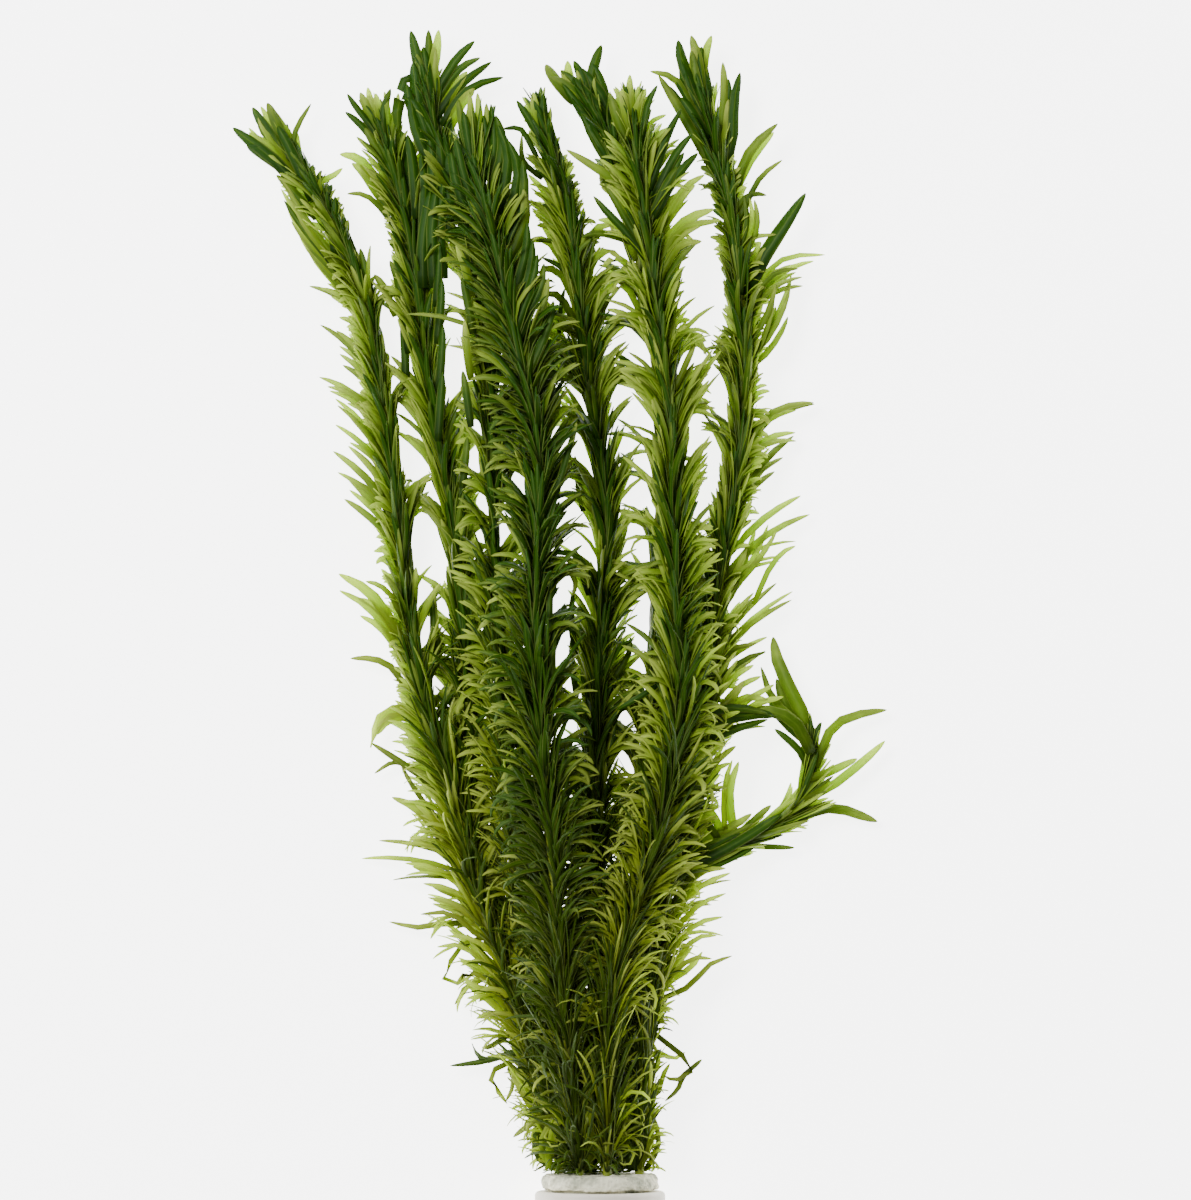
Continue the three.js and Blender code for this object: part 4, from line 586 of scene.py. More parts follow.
# How much further out their loose leaves may reach: height, left, right
FRINGES = {
    "stem_1": [(0, 2, 5), (15, 5, 5), (95, 5, 5), (105, 1, 5), (185, 1, 4), (195, 0.6, 0),
               (215, 0.4, 0)],
    "stem_2": [(0, 5, 5), (190, 5, 5), (203, 1.5, 5)],
    "stem_3": [(0, 5, 5), (212, 3, 3), (222, 0, 0)],
    "stem_4": [(0, 5, 5)],
    "stem_5": [(0, 5, 5), (200, 5, 3), (212, 2, 0)],
    "stem_6": [(0, 5, 5), (200, 4, 4), (215, 0, 2)],
    "stem_7": [(0, 5, 5), (215, 2, 2)],
    "stem_8": [(0, 5, 0.3), (45, 5, 0.5), (60, 5, 1.5), (165, 5, 1), (180, 3, 0.3),
               (225, 1, 0.3)],
    "side_shoot": [(0, 0, 0)],
}

# How far past its stem's reach any leaf may straggle
STRAGGLE = 0.4

# A leaf's length, and the degrees by which it opens, bends back and leans, by its age.
# A loose leaf is one that stands away from the column that the others press into.
WHORLED = {
    "length": {"bud": 7, "grown": 13, "old": 13, "loose": 1},
    "open": {"bud": 10, "grown": 12, "old": 20, "loose": 20},
    "bend": {"bud": 12, "grown": 12, "old": 30, "loose": 36},
    "lean": {"bud": 8, "grown": 14, "old": 60, "loose": 16},
    "sag": {"bud": 0.1, "grown": 0.2, "old": 0.3, "loose": 0},
    "twist": {"bud": 10, "grown": 40, "old": 120, "loose": 20},
}

# The leaves that stand out sideways between the columns
FRINGED = {
    "length": {"bud": 8, "grown": 14, "old": 14, "loose": 0},
    "open": {"bud": 20, "grown": 36, "old": 34, "loose": 0},
    "bend": {"bud": 20, "grown": 50, "old": 50, "loose": 0},
    "lean": {"bud": 10, "grown": 18, "old": 26, "loose": 0},
    "sag": {"bud": 0, "grown": 0.15, "old": 0.3, "loose": 0},
    "twist": {"bud": 20, "grown": 40, "old": 70, "loose": 0},
}
FRINGED_COUNT = 560
FRINGED_FROM = 30
FRINGED_BELOW_TIP = 12
FRINGED_SWING = 1.3

# The thin old leaves that lie along the stems low down, and those that hang over the foam
THATCH = {
    "length": {"bud": 19, "grown": 19, "old": 19, "loose": 3},
    "open": {"bud": 10, "grown": 10, "old": 10, "loose": 12},
    "bend": {"bud": 10, "grown": 10, "old": 10, "loose": 50},
    "lean": {"bud": 24, "grown": 24, "old": 24, "loose": 35},
    "sag": {"bud": 0, "grown": 0, "old": 0, "loose": 0.2},
    "twist": {"bud": 60, "grown": 60, "old": 60, "loose": 60},
}
HANGING = {
    "length": {"bud": 10, "grown": 10, "old": 10, "loose": 3},
    "open": {"bud": 60, "grown": 60, "old": 60, "loose": 10},
    "bend": {"bud": 110, "grown": 110, "old": 110, "loose": 10},
    "lean": {"bud": 30, "grown": 30, "old": 30, "loose": 10},
    "sag": {"bud": 0, "grown": 0, "old": 0, "loose": 0.2},
    "twist": {"bud": 60, "grown": 60, "old": 60, "loose": 60},
}
THATCH_COUNT = 320
THATCH_TOP = 105
THATCH_NARROWER = 0.75
HANGING_COUNT = 46
HANGING_TOP = 13
CLOSER_AT_FOOT = 1.6
STREWN_TONE = 0.6
STREWN_MIDDLE = 0.65

# The height below which a stem's front is bare of whorled leaves, and where its front begins
BARE_IN_FRONT = {"stem_7": 46}
FRONT_FROM = 0.35

# How leaves bend, spread and press together
CURL = 1.6
SHORTEST = 0.4
TURN_TO_LIGHT = 62
LOOSE_SHARE = 0.5
FEWER_IN_FRONT = 0.35
FULLNESS = {"stem_3": 1.15, "stem_4": 1.35, "stem_7": 1.15, "side_shoot": 0.4}
PRESSED_IN_FRONT = 0.45
TUFT_LENGTH = 7
TUFTS_DIFFER = 0.9
UNEVEN_WHEN_OLD = 0.6
MOST_BEND = 1.15
FEWER_FAR_OUT = 1.5
MOST_CLOSED = 0.1
TURN_LUCK = 0.9
PLACE_LUCK = 0.9

# How a leaf's numbers differ by chance: the least, the most, and a shift for each use
SPREADS = {
    "length": (0.82, 1.12, 0), "open": (0.5, 1.5, 0.7), "bend": (0.2, 1.9, 1.1),
    "lean": (-1, 1, 1.9), "sag": (0.3, 1.2, 2.3), "twist": (-1, 1, 3.1), "luck": (0, 1, 4.3),
    "roll": (0.4, 1.25, 4.9), "tone": (-0.2, 0.26, 5.7), "width": (0.8, 1.15, 6.1),
    "old_tone": (-1.3, 1, 6.7), "uneven": (-1, 1, 7.1),
}

# Where leaves are grown and old, and how a stem and its whorls change along it
GROWN_AT = 24
OLD_FROM = 105
OLD_AT = 190
FIRST_WHORL = 0.6
CROWN_LENGTH = 30
MIDDLE_LENGTH = 125
BARE_LENGTH = 5
LOWEST_WHORL_Y = 2.2
TAPER_LENGTH = 45
TIP_R = 0.5
ROOT_DEPTH = 0.75
BUD_NARROWER = 0.1
OLD_NARROWER = 0.4
JOINT_SWELL = 0.14
JOINT_LENGTH = 0.7
AXIS_TIP_R = 0.15

# Leaves that are placed one by one, and the shorter ones beside them
STRAY_ARCH = 1.2
DRAWN_ABOVE = 0.8
CROWN_WIDER = 0.1
WIDE_CROWN = (15, 40)
BESIDE_STRAY = 5
BESIDE_CROSSING = 2
CROSSING_NARROWER = 0.7
DRAWN_WIDER = 1.25
OLD_DRAWN = 0.7
BESIDE_NARROWER = 0.95
BESIDE_SHIFT = 6
BESIDE_TURN = 22
BESIDE_RISE = 4
BESIDE_SHORTEST = 0.5
BESIDE_LONGER = 0.45
TRACED_TWIST = 50
TRACED_TONE = 0.55
TRACED_TONE_LUCK = 0.5
TRACED_WIDER = 0.3
TRACED_TURN = 0.8
TRACED_TURN_LUCK = 0.5
DRAWN_TWIST = 70

# The least heights of a leaf's line above the surface and the foam, and of its blade
LEAF_REST_Z = 0.5
LEAF_REST_Y = 0.4
LOWEST_Z = 0.06

# Each stem and each kind of leaf draws its numbers from a range of its own
SEED_STEP = 1000
TRACED_SEED = 700.5
THATCH_SEED = 3000.5
HANGING_SEED = 5000.5
FRINGED_SEED = 7000.5

# How pale and yellow each stem's leaves are beside the others, from -1 to 1
PALENESS = {
    "stem_1": 0, "stem_2": -0.1, "stem_3": -0.15, "stem_4": -0.22, "stem_5": -0.15,
    "stem_6": -0.1, "stem_7": -0.03, "stem_8": 0.03, "side_shoot": 0.25,
}

# Painted glow: how much paler the loose leaves at a stem's two sides are than those in its middle, as
# if light shone through them
SIDES_PAINTED_GLOW = {"stem_3": 0.9, "stem_4": 0.5, "stem_6": 0.6}
MOST_SIDES_PAINTED_GLOW = 0.85

# How much paler a stem's leaves are on its right than in its middle
PALE_SIDE = {"stem_1": -0.3, "stem_5": -0.15, "stem_6": 0.15, "stem_7": -0.1, "stem_8": 0.25}

# What a leaf tries in turn until it leaves the openings clear
CHANGES = [(1, 1, 0), (1, 0.6, 10), (1, 0.6, -10), (0.9, 0.3, 18), (0.9, 0.3, -18), (0.7, 0.2, 0),
           (0.5, 0.3, 0)]

# How pale a leaf is before its stem and place are counted, and by how much that varies
BASE_TONE = -0.06
CROWN_DARKER = 0.25
OLD_TONE = 0.3
TUFT_TONE = 0.4

# The blade's rows: how far along the leaf each stands, and its share of the leaf's width
BLADE_ROWS = [(0, 0.75), (0.12, 0.96), (0.34, 1), (0.56, 0.98), (0.76, 0.86), (0.9, 0.6),
              (0.97, 0.3), (1, 0.06)]
LINE_STEPS = 16

# The share of its length over which a leaf turns to the light
TURNED_BY = 0.3


def chance(seed):
    """A repeatable number from 0 to 1 for each seed"""
    return np.modf(np.abs(np.sin(seed * 12.9898) * 43758.5453))[0]


def ramp(value, start, end):
    return np.clip((value - start) / (end - start), 0, 1)


def unit(vectors):
    return vectors / np.maximum(np.linalg.norm(vectors, axis=-1, keepdims=True), 1e-12)


def settings():
    return bpy.context.scene.waterweed


# Stems: a stem's middle line, and where things stand on it


def smooth_line(points, pieces=40):
    """A smooth curve through the points, as many short straight pieces"""
    points = np.array(points, float)
    padded = np.vstack([2 * points[0] - points[1], points, 2 * points[-1] - points[-2]])
    share = np.linspace(0, 1, pieces, endpoint=False)[:, None]
    stretches = []
    for before, start, end, after in zip(padded, padded[1:], padded[2:], padded[3:]):
        leave = (end - before) / 2
        arrive = (after - start) / 2
        bend = 2 * start - 2 * end + leave + arrive
        swing = -3 * start + 3 * end - 2 * leave - arrive
        stretches.append(bend * share ** 3 + swing * share ** 2 + leave * share + start)
    return np.vstack(stretches + [points[-1:]])


class Stem:
    """A stem's middle line, measured from its growing tip"""

    def __init__(self, name, number):
        self.name = name
        self.number = number
        self.line = smooth_line(ROUTES[name])
        steps = np.linalg.norm(np.diff(self.line, axis=0), axis=1)
        self.run = np.concatenate([[0], np.cumsum(steps)])
        self.length = self.run[-1]
        self.ways = unit(np.gradient(self.line, axis=0))

    def at(self, from_tip):
        """Middles and the directions along, sideways and up, at distances from the tip"""
        run = self.length - np.asarray(from_tip, float)
        middle = np.stack([np.interp(run, self.run, self.line[:, k]) for k in range(3)], -1)
        along = unit(np.stack([np.interp(run, self.run, self.ways[:, k]) for k in range(3)], -1))
        side = unit(np.cross(along, (0.0, 0.0, 1.0)))
        return middle, along, side, np.cross(side, along)

    def radius(self, from_tip):
        full = settings().stem_width / MM / 2
        return TIP_R + (full - TIP_R) * ramp(from_tip, 0, TAPER_LENGTH)

    def from_tip_at_height(self, y):
        nearest = np.abs(self.line[:, 1] - y).argmin()
        return self.length - self.run[nearest]

    def x_at_height(self, y):
        order = np.argsort(self.line[:, 1])
        return np.interp(y, self.line[order, 1], self.line[order, 0])

    def whorls(self):
        """The whorls' distances from the growing tip"""
        gaps = settings()
        found = []
        d = FIRST_WHORL
        while d < self.length - BARE_LENGTH:
            if self.at(d)[0][1] < LOWEST_WHORL_Y:
                break
            found.append(d)
            crown = ramp(d, CROWN_LENGTH * 0.7, CROWN_LENGTH * 1.3)
            low = ramp(d, MIDDLE_LENGTH * 0.85, MIDDLE_LENGTH * 1.15)
            step = gaps.crown_spacing + (gaps.middle_spacing - gaps.crown_spacing) * crown
            d += (step + (gaps.low_spacing - gaps.middle_spacing) * low) / MM
        return found


STEMS = [Stem(name, number) for number, name in enumerate(ROUTES)]


# Leaves: the middle lines of many leaves at once, from their roots to their tips


class Leaves:
    """Middle lines of leaves, with what each needs to be drawn round its line"""

    PARTS = ("lines", "across", "width", "roll", "twist", "age", "tone")

    def __init__(self, *parts):
        for name, values in zip(self.PARTS, parts):
            setattr(self, name, np.array(values, float))

    def pick(self, which):
        return Leaves(*(getattr(self, name)[which] for name in self.PARTS))


def join_leaves(groups):
    return Leaves(*(np.concatenate([getattr(group, name) for group in groups])
                    for name in Leaves.PARTS))


def by_age(habit, young, old, loose):
    grown = habit["bud"] + (habit["grown"] - habit["bud"]) * young
    return grown + (habit["old"] - habit["grown"]) * old + habit["loose"] * loose * young


def age_of(from_tip):
    """0 in the bud, 0.5 where a leaf is grown, 1 where it is old"""
    return 0.5 * ramp(from_tip, 0, GROWN_AT) + 0.5 * ramp(from_tip, OLD_FROM, OLD_AT)


def leaf_width(from_tip):
    full = settings().leaf_width / MM
    young = ramp(from_tip, 0, GROWN_AT)
    old = ramp(from_tip, OLD_FROM, OLD_AT)
    return full * (1 - BUD_NARROWER * (1 - young) - OLD_NARROWER * old)


def grow(stem, habit, from_tip, azimuth, seed, change):
    """Leaves that follow the plant's habit, one for each place and azimuth on the stem"""
    length_share, open_share, lean_by = change
    middle, along, side, up = stem.at(from_tip)
    cos, sin = np.cos(azimuth)[:, None], np.sin(azimuth)[:, None]
    out = side * cos + up * sin
    across = np.cross(along, out)
    young = ramp(from_tip, 0, GROWN_AT)
    old = ramp(from_tip, OLD_FROM, OLD_AT)
    beside = np.abs(np.cos(azimuth))
    often = 1 if habit is FRINGED else LOOSE_SHARE * (FEWER_IN_FRONT + beside)
    loose = (chance(seed + 0.3) < often).astype(float)
    full = FULLNESS.get(stem.name, 1) * open_share
    front = 1 - PRESSED_IN_FRONT * np.maximum(np.sin(azimuth), 0)
    tuft = np.round(from_tip / TUFT_LENGTH + azimuth) + stem.number * 31.7

    def vary(use):
        """A number of each leaf's own, within the spread of its use"""
        low, high, shift = SPREADS[use]
        return low + (high - low) * chance(seed + shift)

    length = by_age(habit["length"], young, old, loose) * vary("length") * length_share
    together = full * front * (1 + TUFTS_DIFFER * (chance(tuft + 5.3) - 0.5) * young)
    opening = by_age(habit["open"], young, old, loose) * vary("open") * together
    opening *= 1 + UNEVEN_WHEN_OLD * old * vary("uneven")
    bend = by_age(habit["bend"], young, old, loose) * vary("bend") * together
    bend *= min(1, MOST_BEND / full)
    lean = by_age(habit["lean"], young, old, loose) * vary("lean") + lean_by
    sag = by_age(habit["sag"], young, old, loose) * vary("sag")
    twist = by_age(habit["twist"], young, old, loose) * vary("twist")
    share = (np.arange(LINE_STEPS) + 0.5) / LINE_STEPS
    root = middle + out * (stem.radius(from_tip) * ROOT_DEPTH)[:, None]

    def lines_for(scale):
        close = np.where(loose > 0, 1, scale)[:, None]
        shorten = np.where(loose > 0, np.maximum(scale, SHORTEST), 1)
        angle = np.radians((opening[:, None] + bend[:, None] * share ** CURL) * close)
        sideways = np.radians(lean[:, None] * share)
        step = (along[:, None] * (np.cos(angle) * np.cos(sideways))[..., None]
                + out[:, None] * (np.sin(angle) * np.cos(sideways))[..., None]
                + across[:, None] * np.sin(sideways)[..., None])
        step[..., 2] -= sag[:, None] * share
        step = unit(step) * (length * shorten / LINE_STEPS)[:, None, None]
        lines = np.concatenate([root[:, None], root[:, None] + np.cumsum(step, axis=1)], axis=1)
        lines[..., 1] = np.maximum(lines[..., 1], LEAF_REST_Y)
        lines[..., 2] = np.maximum(lines[..., 2], LEAF_REST_Z)
        return lines

    scale = np.ones(len(length))
    luck = vary("luck") ** FEWER_FAR_OUT * loose
    for _ in range(3):
        scale *= np.clip(room_left(stem, lines_for(scale), luck), MOST_CLOSED, 1)
    sideways = np.cos(azimuth)
    roll = np.radians(TURN_TO_LIGHT * sideways * vary("roll"))
    tone = BASE_TONE - CROWN_DARKER * (1 - young) + PALENESS[stem.name] + vary("tone")
    tone += OLD_TONE * old * vary("old_tone")
    # Painted glow: the loose leaves at the sides are made paler than those in the middle
    tone += SIDES_PAINTED_GLOW.get(stem.name, MOST_SIDES_PAINTED_GLOW) * loose * sideways ** 2
    tone += PALE_SIDE.get(stem.name, 0) * sideways
    tone += TUFT_TONE * (chance(tuft) - 0.5)
    return Leaves(lines_for(scale), across, leaf_width(from_tip) * vary("width"),
                  roll, np.radians(twist), age_of(from_tip), tone)


def room_left(stem, lines, luck):
    """The share by which each leaf has to close so that it stays within its stem's reach"""
    y = lines[..., 1]
    away = lines[..., 0] - stem.x_at_height(y)
    reach = side_limits(REACH[stem.name], y, away)
    fringe = side_limits(FRINGES[stem.name], y, away)
    limit = reach + STRAGGLE + fringe * luck[:, None]
    return (limit / np.maximum(np.abs(away), 0.01)).min(axis=1)


def side_limits(rows, y, away):
    """The rows' left or right numbers at each height, by the side on which a point lies"""
    heights, left, right = (np.array(column, float) for column in zip(*rows))
    return np.where(away < 0, np.interp(y, heights, left), np.interp(y, heights, right))


def in_openings(lines):
    """Which leaves pass over an opening between the stems"""
    crossed = np.zeros(len(lines), bool)
    for x, y, half_width, half_height, lean in OPENINGS:
        angle = math.radians(lean)
        dx, dy = lines[..., 0] - x, lines[..., 1] - y
        wide = dx * math.cos(angle) + dy * math.sin(angle)
        high = dy * math.cos(angle) - dx * math.sin(angle)
        inside = (wide / half_width) ** 2 + (high / half_height) ** 2 < 1
        crossed |= inside.any(axis=1)
    return crossed


def clear_leaves(stem, habit, from_tip, azimuth, seed):
    """Leaves that are tried in several ways until they keep the openings clear"""
    bare = BARE_IN_FRONT.get(stem.name, 0) if habit is WHORLED else 0
    covers = (np.sin(azimuth) > FRONT_FROM) & (stem.at(from_tip)[0][:, 1] < bare)
    from_tip, azimuth, seed = from_tip[~covers], azimuth[~covers], seed[~covers]
    kept = []
    for change in CHANGES:
        leaves = grow(stem, habit, from_tip, azimuth, seed, change)
        clear = ~in_openings(leaves.lines)
        kept.append(leaves.pick(clear))
        from_tip, azimuth, seed = from_tip[~clear], azimuth[~clear], seed[~clear]
        if not len(seed):
            break
    return join_leaves(kept)


def whorled_leaves(stem):
    """All leaves of a stem's whorls"""
    places, turns = [], []
    count = settings().leaves_in_whorl
    for index, d in enumerate(stem.whorls()):
        for k in range(count):
            places.append(d)
            turns.append(2 * math.pi * (k + 0.5 * (index % 2)) / count)
    from_tip, azimuth = np.array(places), np.array(turns)
    seed = stem.number * SEED_STEP + np.arange(len(places)) + 0.5
    azimuth += (chance(seed + 7.7) - 0.5) * TURN_LUCK + stem.number
    from_tip = np.maximum(from_tip + (chance(seed + 8.3) - 0.5) * PLACE_LUCK, 0.2)
    return clear_leaves(stem, WHORLED, from_tip, azimuth, seed)


def strewn_leaves(stem, habit, count, top, first_seed):
    """Leaves strewn along a stem's low part, closer together towards its foot"""
    seed = stem.number * SEED_STEP + first_seed + np.arange(count) * 1.3
    height = LEAF_REST_Y + top * chance(seed + 2.9) ** CLOSER_AT_FOOT
    from_tip = np.array([stem.from_tip_at_height(y) for y in height])
    leaves = clear_leaves(stem, habit, from_tip, chance(seed + 3.7) * 2 * math.pi, seed)
    leaves.width = leaves.width * THATCH_NARROWER
    leaves.tone = leaves.tone + (chance(leaves.tone * 99) - STREWN_MIDDLE) * STREWN_TONE
    return leaves


def fringe_leaves(stem):
    """Leaves that stand out sideways from a stem"""
    seed = stem.number * SEED_STEP + FRINGED_SEED + np.arange(FRINGED_COUNT) * 1.7
    lowest = stem.from_tip_at_height(FRINGED_FROM)
    place = np.linspace(FRINGED_BELOW_TIP, lowest, FRINGED_COUNT)
    azimuth = math.pi * (chance(seed + 1.9) < 0.5) + FRINGED_SWING * (chance(seed + 2.7) - 0.5)
    return clear_leaves(stem, FRINGED, place, azimuth, seed)


def low_leaves(stem):
    """The thatch of thin old leaves round the stems' feet"""
    return [strewn_leaves(stem, THATCH, THATCH_COUNT, THATCH_TOP, THATCH_SEED),
            strewn_leaves(stem, HANGING, HANGING_COUNT, HANGING_TOP, HANGING_SEED)]


def traced_leaf(stem, root_y, x, y, z, bow, seed):
    """A leaf that bows from its root to a tip of its own"""
    from_tip = stem.from_tip_at_height(root_y)
    middle, along, side, _ = stem.at(from_tip)
    tip = np.array([x, y, z], float)
    out = tip - middle
    out = unit(out - along * out.dot(along))
    root = middle + out * stem.radius(from_tip) * ROOT_DEPTH
    left = unit(np.array([root[1] - tip[1], tip[0] - root[0], 0]))
    halfway = (root + tip) / 2 + left * bow + (0, 0, STRAY_ARCH)
    control = 2 * halfway - (root + tip) / 2
    share = np.linspace(0, 1, LINE_STEPS + 1)[:, None]
    line = root * (1 - share) ** 2 + control * 2 * share * (1 - share) + tip * share ** 2
    line[:, 2] = np.maximum(line[:, 2], LEAF_REST_Z)
    width = leaf_width(from_tip) * (1 + TRACED_WIDER * chance(seed))
    width += CROWN_WIDER * (1 - ramp(from_tip, *WIDE_CROWN))
    turned = TRACED_TURN + TRACED_TURN_LUCK * chance(seed + 3)
    roll = math.radians(TURN_TO_LIGHT) * out.dot(side) * turned
    twist = math.radians(TRACED_TWIST) * (chance(seed + 1) - 0.5)
    tone = TRACED_TONE + PALENESS[stem.name] + TRACED_TONE_LUCK * (chance(seed + 2) - 0.5)
    return line, np.cross(along, out), width, roll, twist, age_of(from_tip), tone


def leaf_beside(stem, row, seed):
    """The numbers of a shorter leaf that stands close beside a traced one"""
    root_y, x, y, z, bow = row
    shift = BESIDE_SHIFT * (chance(seed) - 0.5)
    share = BESIDE_SHORTEST + BESIDE_LONGER * chance(seed + 1)
    turn = math.radians(BESIDE_TURN) * (chance(seed + 2) - 0.5)
    root_x = stem.x_at_height(root_y)
    dx, dy = (x - root_x) * share, (y - root_y) * share
    new_x = stem.x_at_height(root_y + shift) + dx * math.cos(turn) - dy * math.sin(turn)
    new_y = root_y + shift + dx * math.sin(turn) + dy * math.cos(turn)
    return root_y + shift, new_x, new_y, z + BESIDE_RISE * chance(seed + 3), bow * share


def traced_leaves(stem):
    """The leaves with tips of their own, each with a few shorter ones beside it"""
    found = []
    for table, count, width in ((STRAYS, BESIDE_STRAY, 1),
                                (CROSSING, BESIDE_CROSSING, CROSSING_NARROWER)):
        traced, besides = [], []
        for index, row in enumerate(table.get(stem.name, [])):
            seed = stem.number * SEED_STEP + TRACED_SEED + index * 9 + width
            traced.append(traced_leaf(stem, *row, seed=seed))
            for k in range(count):
                close = leaf_beside(stem, row, seed + k * 0.37)
                besides.append(traced_leaf(stem, *close, seed=seed + 1 + k))
        if traced:
            traced, besides = Leaves(*zip(*traced)), Leaves(*zip(*besides))
            traced.width = traced.width * width
            besides.width = besides.width * width * BESIDE_NARROWER
            found += [traced, besides.pick(~in_openings(besides.lines))]
    return found


def curled_leaves(stem):
    """A stem's leaves that are drawn point by point"""
    rows = []
    for index, (age, width, pale, points) in enumerate(CURLED.get(stem.name, [])):
        width *= DRAWN_WIDER if age < OLD_DRAWN else 1
        level = DRAWN_ABOVE + stem.at(stem.from_tip_at_height(points[0][1]))[0][2]
        fine = smooth_line([(*point, level)[:3] for point in points])
        spot = np.linspace(0, len(fine) - 1, LINE_STEPS + 1)
        line = np.stack([np.interp(spot, np.arange(len(fine)), fine[:, k]) for k in range(3)], -1)
        way = unit(line[1] - line[0])
        twist = math.radians(DRAWN_TWIST) * (chance(index + 0.5) - 0.5)
        rows.append((line, np.cross(way, (0, 0, 1)), width, 0, twist, age, pale))
    return [Leaves(*zip(*rows))] if rows else []


# Blades: one leaf is modelled, then copied along every leaf's line


def start_fresh():
    if bpy.context.object and bpy.context.object.mode != "OBJECT":
        bpy.ops.object.mode_set(mode="OBJECT")
    bpy.ops.object.select_all(action="DESELECT")


def pick_vertices(piece, wanted):
    """Selects the vertices of a piece in edit mode for which wanted(place) is true"""
    cage = bmesh.from_edit_mesh(piece.data)
    for vertex in cage.verts:
        vertex.select_set(bool(wanted(vertex.co)))
    cage.select_flush(True)
    bmesh.update_edit_mesh(piece.data)


def pick_faces(piece, wanted):
    """Selects the faces of a piece in edit mode for which wanted(face) is true"""
    cage = bmesh.from_edit_mesh(piece.data)
    for face in cage.faces:
        face.select_set(bool(wanted(face)))
    bmesh.update_edit_mesh(piece.data)


def apply_modifiers(piece):
    for modifier in list(piece.modifiers):
        bpy.ops.object.modifier_apply(modifier=modifier.name)


def model_blade():
    """One closed blade: x from -1 to 1 across, y from 0 to 1 along"""
    start_fresh()
    rows = len(BLADE_ROWS) - 1
    bpy.ops.mesh.primitive_grid_add(x_subdivisions=1, y_subdivisions=rows, size=2)
    blade = bpy.context.object
    bpy.ops.object.mode_set(mode="EDIT")
    bpy.ops.mesh.select_mode(type="VERT")
    for index in reversed(range(rows + 1)):
        place = -1 + 2 * index / rows
        along, width = BLADE_ROWS[index]
        pick_vertices(blade, lambda co, y=place: abs(co.y - y) < 0.01)
        bpy.ops.transform.resize(value=(width, 1, 1), center_override=(0, place, 0))
        bpy.ops.transform.translate(value=(0, 2 + along - place, 0))
    bpy.ops.mesh.select_all(action="SELECT")
    bpy.ops.transform.translate(value=(0, -2, 0))
    bpy.ops.object.mode_set(mode="OBJECT")
    wall = blade.modifiers.new("thickness", "SOLIDIFY")
    wall.thickness = settings().leaf_thickness / settings().leaf_width * 2
    wall.offset = 0
    apply_modifiers(blade)
    return blade


def draw_blades(blade, leaves, name):
    """Copies the blade along every leaf's line, as one mesh"""
    unit_co = np.empty(len(blade.data.vertices) * 3, np.float32)
    blade.data.vertices.foreach_get("co", unit_co)
    unit_co = unit_co.reshape(-1, 3).astype(float)
    # Across, along and up make a left-handed frame here, so each face is turned round
    faces = [tuple(reversed(polygon.vertices)) for polygon in blade.data.polygons]
    share = np.clip(unit_co[:, 1], 0, 1)
    spot = share * LINE_STEPS
    lower = np.minimum(spot.astype(int), LINE_STEPS - 1)
    part = (spot - lower)[None, :, None]
    tangents = unit(np.gradient(leaves.lines, axis=1))

    def along_line(values):
        return values[:, lower] * (1 - part) + values[:, lower + 1] * part

    middle, way = along_line(leaves.lines), unit(along_line(tangents))
    across = leaves.across[:, None]
    across = unit(across - way * (across * way).sum(-1, keepdims=True))
    upper = np.cross(way, across)
    turn = leaves.roll[:, None] * ramp(share, 0, TURNED_BY)[None] + leaves.twist[:, None] * share
    turn = turn[..., None]
    across, upper = (across * np.cos(turn) + upper * np.sin(turn),
                     upper * np.cos(turn) - across * np.sin(turn))
    half = (leaves.width / 2)[:, None, None]
    places = (middle + across * unit_co[None, :, :1] * half
              + upper * unit_co[None, :, 2:] * half)
    rest_on_surface(places, share)
    count, size = places.shape[:2]
    whole = [tuple(index + size * leaf for index in face)
             for leaf in range(count) for face in faces]
    mesh = bpy.data.meshes.new(name)
    mesh.from_pydata(((places.reshape(-1, 3) + SHIFT) * MM).tolist(), [], whole)
    add_values(mesh, "age", np.repeat(leaves.age, size))
    add_values(mesh, "tone", np.repeat(leaves.tone, size))
    loops = np.empty(len(mesh.loops), np.int32)
    mesh.loops.foreach_get("vertex_index", loops)
    flat = np.stack([unit_co[:, 0] / 2 + 0.5, share], -1)
    mesh.uv_layers.new(name="blade").data.foreach_set("uv", flat[loops % size].ravel())
    mesh.shade_smooth()
    piece = bpy.data.objects.new(name, mesh)
    bpy.context.scene.collection.objects.link(piece)
    return piece


def rest_on_surface(places, share):
    """Lifts each row of a blade that would sink into the surface until it rests on it"""
    for along in np.unique(np.round(share, 3)):
        row = np.abs(share - along) < 0.02
        lowest = places[:, row, 2].min(axis=1)
        places[:, row, 2] += np.maximum(LOWEST_Z - lowest, 0)[:, None]


def add_values(mesh, name, values):
    attribute = mesh.attributes.new(name, "FLOAT", "POINT")
    attribute.data.foreach_set("value", np.asarray(values, np.float32))


def dress(piece, material, slot, *nodes):
    """Gives a finished piece its material, hangs it under the root body and hides the CAD nodes that
    it stands for; the slot argument is not used
    """
    piece.data.materials.clear()
    piece.data.materials.append(material)
    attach(piece, "root")
    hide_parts(*nodes)


# Materials


